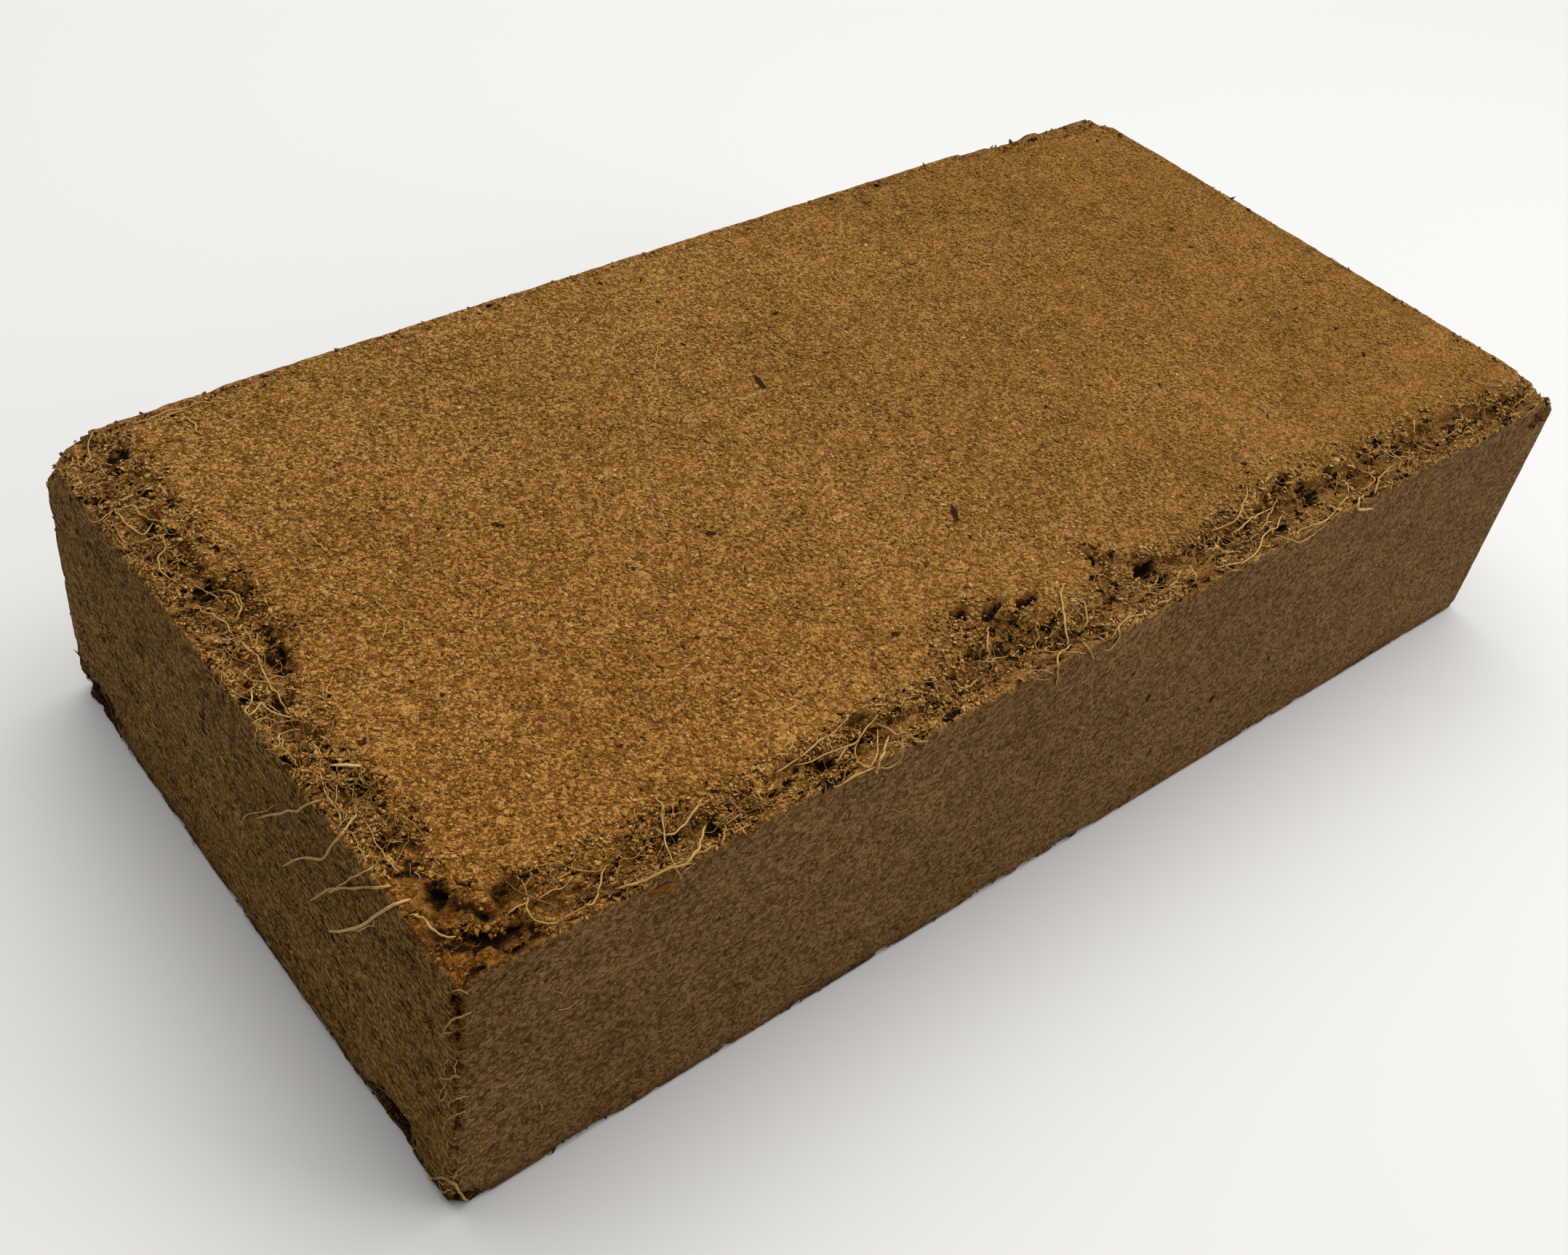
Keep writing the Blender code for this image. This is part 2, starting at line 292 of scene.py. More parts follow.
def solid_left(points):
    """How deep each point is inside the material that is left; below zero it has crumbled away."""
    x, y, z = points.T
    from_faces = HALF - np.abs(points - MIDDLE)
    over_radius = np.clip(ARRIS_RADIUS - from_faces, 0, None)
    left = ARRIS_RADIUS - np.linalg.norm(over_radius, axis=1)

    below_top = HEIGHT - z
    upper = below_top < DEEPEST_LEDGE
    high = points[upper]
    worn = np.maximum.reduce(
        [
            ledge_depth(high, high[:, 0], high[:, 1] + WIDTH / 2, FRONT_LEDGE, 0.35, 1.0, 11),
            ledge_depth(high, high[:, 1], high[:, 0] + LENGTH / 2, LEFT_LEDGE, 0.35, 1.0, 21),
            ledge_depth(high, high[:, 0], WIDTH / 2 - high[:, 1], BACK_LEDGE, 1.0, 0.4, 31),
            ledge_depth(high, high[:, 1], LENGTH / 2 - high[:, 0], RIGHT_LEDGE, 1.0, 0.4, 41),
            hole_depth(high, high[:, 0], high[:, 1], TOP_HOLES),
        ]
    )
    top = np.zeros(len(points))
    top[upper] = worn
    left = np.minimum(left, below_top - top)
    left = np.minimum(left, y + WIDTH / 2 - hole_depth(points, x, z, FRONT_HOLES))
    left = np.minimum(left, x + LENGTH / 2 - hole_depth(points, y, z, LEFT_HOLES))

    shallow = np.sort(from_faces, axis=1)
    nibble = 0.0004 + 0.0008 * lumps(points, 0.0090, 51) + 0.0005 * lumps(points, 0.0045, 52)
    nibble += 0.0005 * lumps(points, 0.0018, 53)
    nibble *= 1 - CRISP_SHARE * np.maximum(soft_step(x, 0.080, 0.095), soft_step(y, 0.030, 0.046))
    left = np.minimum(left, (shallow[:, 0] + shallow[:, 1] - nibble) / math.sqrt(2))

    chipped = 1 + 0.35 * lumps(points, 0.0055, 61)
    for side_x, side_y, height, depth in WORN_CORNERS:
        corner = np.array((side_x * LENGTH / 2, side_y * WIDTH / 2, height))
        under = np.abs(points - corner).sum(axis=1) - depth * chipped * math.sqrt(3)
        left = np.minimum(left, under / math.sqrt(3))
    return left


def how_deep(points, inward, reach, steps):
    """How far each point goes along inward, up to reach, before it meets the block.

    Equal steps find the step in which it meets the block, and halving that step finds it closely.
    """
    depth = np.zeros(len(points))
    moving = np.flatnonzero(solid_left(points) < -1e-6)
    loose = moving
    step = reach / steps
    for _ in range(steps):
        depth[loose] += step
        loose = loose[solid_left(points[loose] + depth[loose, None] * inward[loose]) < 0]
    for _ in range(HALVINGS):
        step /= 2
        back = points[moving] + (depth[moving] - step)[:, None] * inward[moving]
        depth[moving] -= step * (solid_left(back) >= 0)
    return depth


def crevices(points):
    """Share from 0 to 1 of the narrow gaps between clumps of crumbled pith: two sizes of lumps, cut high."""
    coarse = lumps(points * (0.70, 1.0, 1.0), 0.0021, 91)
    return soft_step(0.62 * coarse + 0.50 * lumps(points, 0.0010, 92), 0.13, 0.28)


def clump_gaps(points):
    """Share from 0 to 1 of the wide gaps between the clumps at the near top corner: lumps, cut high."""
    away = np.linalg.norm(points - (-LENGTH / 2, -WIDTH / 2, HEIGHT), axis=1)
    clumpy = lumps(points * (0.80, 1.0, 1.0), 0.0027, 93)
    return (1 - soft_step(away, 0.010, 0.020)) * soft_step(clumpy, 0.10, 0.40)


def unit(vectors):
    """The same directions, one long."""
    return vectors / np.maximum(np.linalg.norm(vectors, axis=-1, keepdims=True), 1e-12)


def new_piece(name, points, faces, material, smooth=True, **attributes):
    """One mesh piece that rides on the bale, with a number on each point for each named attribute."""
    mesh = bpy.data.meshes.new(name)
    mesh.vertices.add(len(points))
    mesh.vertices.foreach_set("co", np.asarray(points, np.float32).ravel())
    mesh.loops.add(faces.size)
    mesh.loops.foreach_set("vertex_index", faces.astype(np.int32).ravel())
    mesh.polygons.add(len(faces))
    mesh.polygons.foreach_set("loop_start", np.arange(0, faces.size, faces.shape[1], dtype=np.int32))
    mesh.update(calc_edges=True)
    for key, values in attributes.items():
        attribute = mesh.attributes.new(key, "FLOAT", "POINT")
        attribute.data.foreach_set("value", np.asarray(values, np.float32))
    if smooth:
        mesh.shade_smooth()
    else:
        mesh.shade_flat()
    mesh.materials.append(material)
    piece = bpy.data.objects.new(name, mesh)
    bpy.context.scene.collection.objects.link(piece)
    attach(piece, BODY)
    return piece


def grid_lines(stretches):
    """Places of the grid lines: evenly spaced in each stretch, with its ends exactly kept."""
    places = [np.array([stretches[0][0]])]
    for start, end, step in stretches:
        count = max(1, round((end - start) / step))
        places.append(np.linspace(start, end, count + 1)[1:])
    return np.concatenate(places)


def box_skin(lines):
    """Points and outward quads of a box's skin cut along those lines; its six faces share their seams."""
    counts = [len(places) for places in lines]
    keys = []
    for axis in range(3):
        across, up = (axis + 1) % 3, (axis + 2) % 3
        first, second = np.meshgrid(range(counts[across]), range(counts[up]), indexing="ij")
        for side in (0, 1):
            index = [None, None, None]
            index[axis] = np.full_like(first, side * (counts[axis] - 1))
            index[across] = first
            index[up] = second
            key = (index[0] * counts[1] + index[1]) * counts[2] + index[2]
            ring = [key[:-1, :-1], key[1:, :-1], key[1:, 1:], key[:-1, 1:]]
            if side == 0:
                ring.reverse()
            keys.append(np.stack(ring, axis=-1).reshape(-1, 4))
    used, faces = np.unique(np.concatenate(keys), return_inverse=True)
    place = np.unravel_index(used, counts)
    points = np.stack([lines[axis][place[axis]] for axis in range(3)], axis=1)
    return points, faces.reshape(-1, 4)


def pressed_grain(skin, crumbled, top, left, clumps, rng):
    """How far the grain of the pressed pith sinks each point of the skin.

    Grit and lumps on top, level flakes on the sides, most of them on the left end, and rubble with
    gaps where the pith has crumbled. The underside, pressed flat, sinks half as far.
    """
    layered = skin * np.array((0.35, 0.35, 1.0))
    flakes = soft_step(lumps(layered, 0.0014, 81), 0.0, 0.5)
    grit = rng.random(len(skin))
    grain = top * (0.00010 * grit + 0.00007 * (1 + lumps(skin, 0.0024, 82)))
    grain += (1 - top) * (0.00004 * grit + (0.00003 + 0.00016 * left) * flakes)
    grain += crumbled * (0.0002 * (1 + lumps(skin, 0.0016, 83)) + 0.00022 * rng.random(len(skin)))
    grain += 0.0009 * crumbled * crevices(skin)
    grain += 0.0011 * clumps
    grain[skin[:, 2] <= 0] *= 0.5
    return grain


def hole_depths(points):
    """How deep the hole is that each point lies in, on the top, the front face or the left face."""
    x, y, z = points.T
    return np.maximum.reduce(
        [
            hole_depth(points, x, y, TOP_HOLES) * (z > HEIGHT - 0.006),
            hole_depth(points, x, z, FRONT_HOLES) * (y < 0.003 - WIDTH / 2),
            hole_depth(points, y, z, LEFT_HOLES) * (x < 0.003 - LENGTH / 2),
        ]
    )


def pressed_block(material):
    """The bale's body.

    Each point of a box's skin sinks along its line to the core by the depth that has crumbled away,
    then by the pressed grain. Its points carry four shares: granular for the warm loose pith, a share
    of painted shade in holes, in deep crumbled places, in gaps between clumps and as a contact shadow
    at the foot, gap for crumbled pith, and flaky for the left end.
    """
    rng = np.random.default_rng(5)
    skin, faces = box_skin([grid_lines(LINES_X), grid_lines(LINES_Y), grid_lines(LINES_Z)])
    core = MIDDLE + np.clip(skin - MIDDLE, CORE_INSET - HALF, HALF - CORE_INSET)
    inward = unit(core - skin)
    slant = np.linalg.norm(core - skin, axis=1) / CORE_INSET
    depth = how_deep(skin, inward * slant[:, None], CORE_INSET, SEARCH_STEPS) * slant

    height = skin[:, 2]
    top = soft_step(height, HEIGHT - FACE_BLEND, HEIGHT)
    left = soft_step(-skin[:, 0], LENGTH / 2 - FACE_BLEND, LENGTH / 2) * (1 - top)
    crumbled = soft_step(depth, 0.0001, 0.0008)
    clumps = clump_gaps(skin) * crumbled * soft_step(height, 0.036, 0.040)
    grain = pressed_grain(skin, crumbled, top, left, clumps, rng)
    points = skin + (depth + grain)[:, None] * inward

    # Painted shade: darker in holes, in deep crumbled places and in the gaps between clumps.
    pits = (depth > 0.0003) * hole_depths(points) / 0.0011
    # Painted contact shadow along the foot, stronger on the left end.
    foot = 1 - soft_step(height, 0.0004, 0.0036)
    foot *= 0.24 + 0.36 * lumps(skin, 0.0048, 95) + 0.20 * left
    dark = np.maximum.reduce([pits, (depth - 0.0030) / 0.0036, foot, 0.8 * clumps])
    # Crumbled places low on the sides take mostly the side colours: painted shade, darker than the top's.
    warm = 0.35 + 0.65 * soft_step(height, 0.030, 0.038)
    piece = new_piece(
        "pressed_block",
        points,
        faces,
        material,
        granular=np.maximum(top, crumbled * warm),
        hollow=np.clip(dark, 0, 1),
        gap=crumbled,
        flaky=left,
    )
    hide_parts(NODE)
    return piece


# Small shapes, each reaching 1 from its middle. How unevenly their points are set is a share of that.
CRUMB_UNEVEN = 0.38
CHIP_UNEVEN = 0.30
FLECK_UNEVEN = 0.25


def chip_shape():
    """A flat-topped chip: five points round its face and one point below, sunk in the pith."""
    turn = np.arange(5) * math.tau / 5
    rim = np.stack([np.cos(turn), np.sin(turn), np.full(5, 0.35)], axis=1)
    here = np.arange(5)
    sides = np.stack([(here + 1) % 5, here, np.full(5, 5)], axis=1)
    return np.vstack([rim, (0, 0, -1)]), np.vstack([[(0, 1, 2), (0, 2, 3), (0, 3, 4)], sides])


def crumb_shape():
    """A crumb: an octahedron, with a point at each end of each axis."""
    points = np.array([(1, 0, 0), (-1, 0, 0), (0, 1, 0), (0, -1, 0), (0, 0, 1), (0, 0, -1)], float)
    faces = [(0, 2, 4), (2, 1, 4), (1, 3, 4), (3, 0, 4), (2, 0, 5), (1, 2, 5), (3, 1, 5), (0, 3, 5)]
    return points, np.array(faces)


def frames(normals, turn):
    """Axes for each copy: the third along its normal, the first turned about it from the level way."""
    rough = np.where(np.abs(normals[:, 2:3]) > 0.7, (0.0, 1.0, 0.0), (0.0, 0.0, 1.0))
    first = unit(np.cross(rough, normals))
    second = np.cross(normals, first)
    cos, sin = np.cos(turn)[:, None], np.sin(turn)[:, None]
    return np.stack([cos * first + sin * second, cos * second - sin * first, normals], axis=2)


def joined_copies(shape, places, axes, sizes, uneven, rng):
    """Points, triangles and copies' numbers of many small shapes joined in one mesh.

    Point = place + axes * (shape point * size * (1 + uneven * random)).
    """
    points, faces = shape
    spread = 1 + uneven * rng.uniform(-1, 1, (len(places), len(points), 3))
    body = points[None] * spread * sizes[:, None]
    moved = places[:, None] + np.einsum("nij,nkj->nki", axes, body)
    offsets = np.arange(len(places))[:, None, None] * len(points)
    owner = np.repeat(np.arange(len(places)), len(points))
    return moved.reshape(-1, 3), (faces[None] + offsets).reshape(-1, 3), owner


def spread_over(low_u, high_u, low_v, high_v, count, rng):
    """About count places over a rectangle, each somewhere in its own cell of a square grid."""
    cell = math.sqrt((high_u - low_u) * (high_v - low_v) / count)
    across = max(1, round((high_u - low_u) / cell))
    up = max(1, round((high_v - low_v) / cell))
    u, v = np.meshgrid(np.arange(across), np.arange(up), indexing="ij")
    u = low_u + (u.ravel() + rng.random(u.size)) * (high_u - low_u) / across
    v = low_v + (v.ravel() + rng.random(v.size)) * (high_v - low_v) / up
    return u, v


GRAIN_TINT = 0.58


def grain_tints(count, rng):
    """Tints from 0, dark, to 1, straw: most are middling brown, some dark, and a few pale."""
    tint = np.clip(rng.normal(GRAIN_TINT, 0.18, count), 0.12, 1.0)
    pale = rng.random(count) < 0.045
    tint[pale] = rng.uniform(0.80, 1.1, pale.sum())
    return tint


def top_grains(name, low_x, high_x, count, seed, material):
    """Small flattened grains of pith that pave a stretch of the top face, half sunk in it.

    One grain lies in each cell of a square grid, sunk by the block's depth there and a third or
    more of its thickness, and leans more where the pith is loose. Holes and gaps stay open.
    """
    rng = np.random.default_rng(seed)
    x, y = spread_over(low_x, high_x, -WIDTH / 2, WIDTH / 2, count, rng)
    edge = np.minimum(LENGTH / 2 - np.abs(x), WIDTH / 2 - np.abs(y))
    x, y = x[edge > 0.0006], y[edge > 0.0006]
    start = np.stack([x, y, np.full_like(x, HEIGHT)], axis=1)
    down = np.tile((0.0, 0.0, -1.0), (len(x), 1))
    depth = how_deep(start, down, 0.007, 14)
    clumped = (crevices(start) < 0.5) & (clump_gaps(start) < OPEN_GAP)
    keep = (depth < 0.0034) & ((depth < 0.0003) | clumped)
    keep &= hole_depth(start, x, y, TOP_HOLES) < OPEN_HOLE
    start, depth = start[keep], depth[keep]
    count = len(start)
    long = np.clip(rng.lognormal(math.log(0.00027), 0.36, count), 0.00014, 0.0007)
    wide = long * rng.uniform(0.35, 0.72, count)
    thick = np.clip(wide * rng.uniform(0.35, 0.65, count), 0.00007, 0.00016)
    sunk = depth + thick * rng.uniform(0.35, 1.0, count)
    places = start + sunk[:, None] * (0, 0, -1)
    leaning = 0.12 + 0.30 * np.clip(depth / 0.0008, 0, 1)
    lean = rng.normal(0, 1, (count, 3)) * leaning[:, None]
    axes = frames(unit(lean + (0, 0, 1)), rng.uniform(0, math.tau, count))
    sizes = np.stack([long, wide, thick], axis=1)
    points, faces, owner = joined_copies(crumb_shape(), places, axes, sizes, CRUMB_UNEVEN, rng)
    evenness = np.interp(start[:, 0], (-LENGTH / 2, 0.0, LENGTH / 2), (1.30, 1.12, 0.62))
    tint = GRAIN_TINT + (grain_tints(count, rng) - GRAIN_TINT) * evenness
    loose = soft_step(depth, 0.0002, 0.0007)
    return new_piece(name, points, faces, material, tint=tint[owner], gap=loose[owner])


# The arrises that fibres and crumbs gather on. Each has a point on it, the way along it, the way in
# over its first face, and the way in over its second face. The ways out are the other way's reverse.
ARRISES = {
    "front": ((0, -WIDTH / 2, HEIGHT), (1, 0, 0), (0, 1, 0), (0, 0, -1)),
    "left": ((-LENGTH / 2, 0, HEIGHT), (0, 1, 0), (1, 0, 0), (0, 0, -1)),
    "back": ((0, WIDTH / 2, HEIGHT), (1, 0, 0), (0, -1, 0), (0, 0, -1)),
    "right": ((LENGTH / 2, 0, HEIGHT), (0, 1, 0), (-1, 0, 0), (0, 0, -1)),
    "near": ((-LENGTH / 2, -WIDTH / 2, 0), (0, 0, 1), (1, 0, 0), (0, 1, 0)),
    "front_foot": ((0, -WIDTH / 2, 0), (1, 0, 0), (0, 1, 0), (0, 0, 1)),
    "left_foot": ((-LENGTH / 2, 0, 0), (0, 1, 0), (1, 0, 0), (0, 0, 1)),
}
TURN_RADIUS = 0.0010
# How far in a fibre or crumb may lie to rest on the block, and the steps that find its place.
DEEPEST_REST = 0.006
REST_STEPS = 24


def over_arris(arris, along, across):
    """Places on the skin beside an arris, and the way out of the skin there.

    Across is the distance over the first face if positive and over the second if negative, and
    between them the skin turns on an arc of TURN_RADIUS.
    """
    origin, way, first_in, second_in = (np.array(part, float) for part in ARRISES[arris])
    first_out, second_out = -second_in, -first_in
    bend = TURN_RADIUS * math.pi / 4
    angle = np.clip(math.pi / 4 * (1 - across / bend), 0, math.pi / 2)
    out = np.cos(angle)[..., None] * first_out + np.sin(angle)[..., None] * second_out
    centre = TURN_RADIUS * (first_in + second_in)
    over_first = np.clip(across - bend, 0, None)[..., None] * first_in
    over_second = np.clip(-across - bend, 0, None)[..., None] * second_in
    places = origin + along[..., None] * way + centre + TURN_RADIUS * out + over_first + over_second
    return places, out


def settled(places, out):
    """How far straight in the block lies under each place on the skin."""
    flat = places.reshape(-1, 3)
    return how_deep(flat, -out.reshape(-1, 3), DEEPEST_REST, REST_STEPS).reshape(places.shape[:-1])


def eased(values, times):
    """Values along each row, averaged with their neighbours that many times."""
    for _ in range(times):
        padded = np.concatenate([values[:, :1], values, values[:, -1:]], axis=1)
        values = 0.25 * padded[:, :-2] + 0.5 * padded[:, 1:-1] + 0.25 * padded[:, 2:]
    return values


def tubes(paths, radii, sides):
    """Points and triangles of closed round tubes along many paths at once, and each point's path.

    Ring point = path + radius * (cos * side + sin * up); the side direction is carried along the
    path without twist, and a point past each end closes the tube.
    """
    count, stations = paths.shape[:2]
    along = unit(np.gradient(paths, axis=1))
    side = np.empty_like(paths)
    carried = np.cross(along[:, 0], (0.31, 0.52, 0.79))
    for station in range(stations):
        overlap = (carried * along[:, station]).sum(axis=1, keepdims=True)
        carried = unit(carried - overlap * along[:, station])
        side[:, station] = carried
    up = np.cross(along, side)
    turn = np.arange(sides) * math.tau / sides
    ring = np.cos(turn)[:, None] * side[:, :, None] + np.sin(turn)[:, None] * up[:, :, None]
    rings = paths[:, :, None] + radii[:, :, None, None] * ring
    start = paths[:, :1] - along[:, :1] * radii[:, :1, None]
    end = paths[:, -1:] + along[:, -1:] * radii[:, -1:, None]
    points = np.concatenate([rings.reshape(count, -1, 3), start, end], axis=1)

    here = np.arange(sides)
    beside = (here + 1) % sides
    base = np.arange(stations - 1)[:, None] * sides
    low, high = base + here, base + beside
    walls = np.concatenate(
        [
            np.stack([low, high, high + sides], axis=-1).reshape(-1, 3),
            np.stack([low, high + sides, low + sides], axis=-1).reshape(-1, 3),
        ]
    )
    last = (stations - 1) * sides
    first_tip, last_tip = stations * sides, stations * sides + 1
    caps = np.concatenate(
        [
            np.stack([np.full(sides, first_tip), beside, here], axis=-1),
            np.stack([np.full(sides, last_tip), last + here, last + beside], axis=-1),
        ]
    )
    faces = np.concatenate([walls, caps])
    per_path = stations * sides + 2
    offsets = np.arange(count)[:, None, None] * per_path
    owner = np.repeat(np.arange(count), per_path)
    return points.reshape(-1, 3), (faces[None] + offsets).reshape(-1, 3), owner


def curly_walks(count, stations, lengths, curl, heading, rng):
    """Flat wandering paths: the heading is a start angle, a steady bend and two waves along the path."""
    share = np.linspace(0, 1, stations)[None]
    bend = rng.normal(0, curl, (count, 1)) * share
    slow = rng.normal(0, 0.70 * curl, (count, 1)) * np.sin(math.tau * (share * 1.1 + rng.random((count, 1))))
    fast = rng.normal(0, 0.35 * curl, (count, 1)) * np.sin(math.tau * (share * 2.7 + rng.random((count, 1))))
    angle = heading[:, None] + bend + slow + fast
    step = lengths[:, None] / (stations - 1)
    walk = np.stack([np.cos(angle), np.sin(angle)], axis=-1) * step[..., None]
    walk[:, 0] = 0
    path = np.cumsum(walk, axis=1)
    return path - path.mean(axis=1, keepdims=True)


def tapered(radius, stations):
    """Radii along each fibre: radius * (1 - 0.62 * share^4), the share being 0 in its middle."""
    share = np.linspace(-1, 1, stations)[None]
    return radius[:, None] * (1 - 0.62 * share**4)


# Where the pith beside the near top corner ends, along each arris: it is bare of fibres before that.
BARE_BEFORE = {"front": -0.088, "left": -0.036}
FIBRE_STATIONS = 14
HAIR_STATIONS = 6
# No fibre comes nearer to the floor than this.
FLOOR_GAP = 0.00005


def arris_fibres(arris, low, high, count, spread, lengths, radius, lift, seed):
    """Curly fibres that lie over an arris: their paths and radii.

    Each is a curly walk on the unrolled skin, sunk to the block under it and lifted in one or two
    bows, with its ends pushed in.
    """
    rng = np.random.default_rng(seed)
    length = rng.uniform(*lengths, count)
    heading = rng.normal(0, 0.75, count) + math.pi * rng.integers(0, 2, count)
    walk = curly_walks(count, FIBRE_STATIONS, length, 0.85, heading, rng)
    along = rng.uniform(low, high, count)[:, None] + walk[..., 0]
    across = rng.uniform(*spread, count)[:, None] + walk[..., 1]
    along = np.clip(along, low, high)
    fibrous = along.mean(axis=1) >= BARE_BEFORE.get(arris, -1.0)
    along, across, count = along[fibrous], across[fibrous], fibrous.sum()
    places, out = over_arris(arris, along, across)
    depth = eased(settled(places, out), 3)
    share = np.linspace(0, 1, FIBRE_STATIONS)[None]
    bow = np.abs(np.sin(math.pi * share * rng.integers(1, 3, (count, 1))))
    raised = rng.uniform(0.0, lift, (count, 1)) * bow + 0.00025
    raised = np.where((share < 0.03) | (share > 0.97), -0.0004, raised)
    paths = places + (raised - depth)[..., None] * out
    return paths, tapered(rng.uniform(*radius, count), FIBRE_STATIONS)


def fibre_piece(name, walks, sides, tint, spread, darkest, rng, material):
    """Fibres joined in one piece: their paths and radii, and tints from 0, dark, to 1, straw."""
    paths, radii = (np.concatenate(parts) for parts in zip(*walks))
    points, faces, owner = tubes(paths, radii, sides)
    points[:, 2] = np.maximum(points[:, 2], FLOOR_GAP)
    tints = np.clip(rng.normal(tint, spread, len(paths)), darkest, 1.0)
    return new_piece(name, points, faces, material, tint=tints[owner])


def photo_rays(pixels):
    """The camera's place, and the way each pixel of the 2156 x 1725 photograph looks."""
    focal = CAMERA_LENS / SENSOR * PHOTO_SIZE[0]
    pixels = np.asarray(pixels, float)
    across = (pixels[:, 0] - PHOTO_SIZE[0] / 2) / focal + CAMERA_SHIFT * SENSOR / CAMERA_LENS
    up = -(pixels[:, 1] - PHOTO_SIZE[1] / 2) / focal
    looks = np.stack([across, up, -np.ones(len(pixels))], axis=1)
    turn = np.array(Euler([math.radians(a) for a in CAMERA_TURN]).to_matrix())
    return np.array(CAMERA_PLACE), unit(looks @ turn.T)


def meets_box(start, ways):
    """Where rays from one point first meet the block's box; a ray that misses stops nearest to it."""
    with np.errstate(divide="ignore"):
        near = np.where(ways > 0, (LOW - start) / ways, (HIGH - start) / ways).max(axis=1)
    places = start + near[:, None] * ways
    return np.clip(places, LOW, HIGH)


def smooth_route(points, stations):
    """A smooth path through the given points: Catmull-Rom, sampled evenly."""
    padded = np.vstack([2 * points[0] - points[1], points, 2 * points[-1] - points[-2]])
    place = np.linspace(0, len(points) - 1, stations)
    base = np.minimum(place.astype(int), len(points) - 2)
    t = (place - base)[:, None]
    a, b, c, d = (padded[base + k] for k in range(4))
    return 0.5 * (2 * b + (c - a) * t + (2 * a - 5 * b + 4 * c - d) * t**2 + (3 * b - a - 3 * c + d) * t**3)


def strand(width, clear, *route, tint=None):
    """A strand that shows singly in the photograph, and how pale it is, from 0 to 1.

    The width is in pixels, the second end stands that far clear of the block, and the route is the
    pixels that the strand passes.
    """
    usual = 0.76 if clear >= 0.0010 else 0.72 if width >= USUAL_WIDTH else 0.67
    return width, clear, usual if tint is None else tint, route


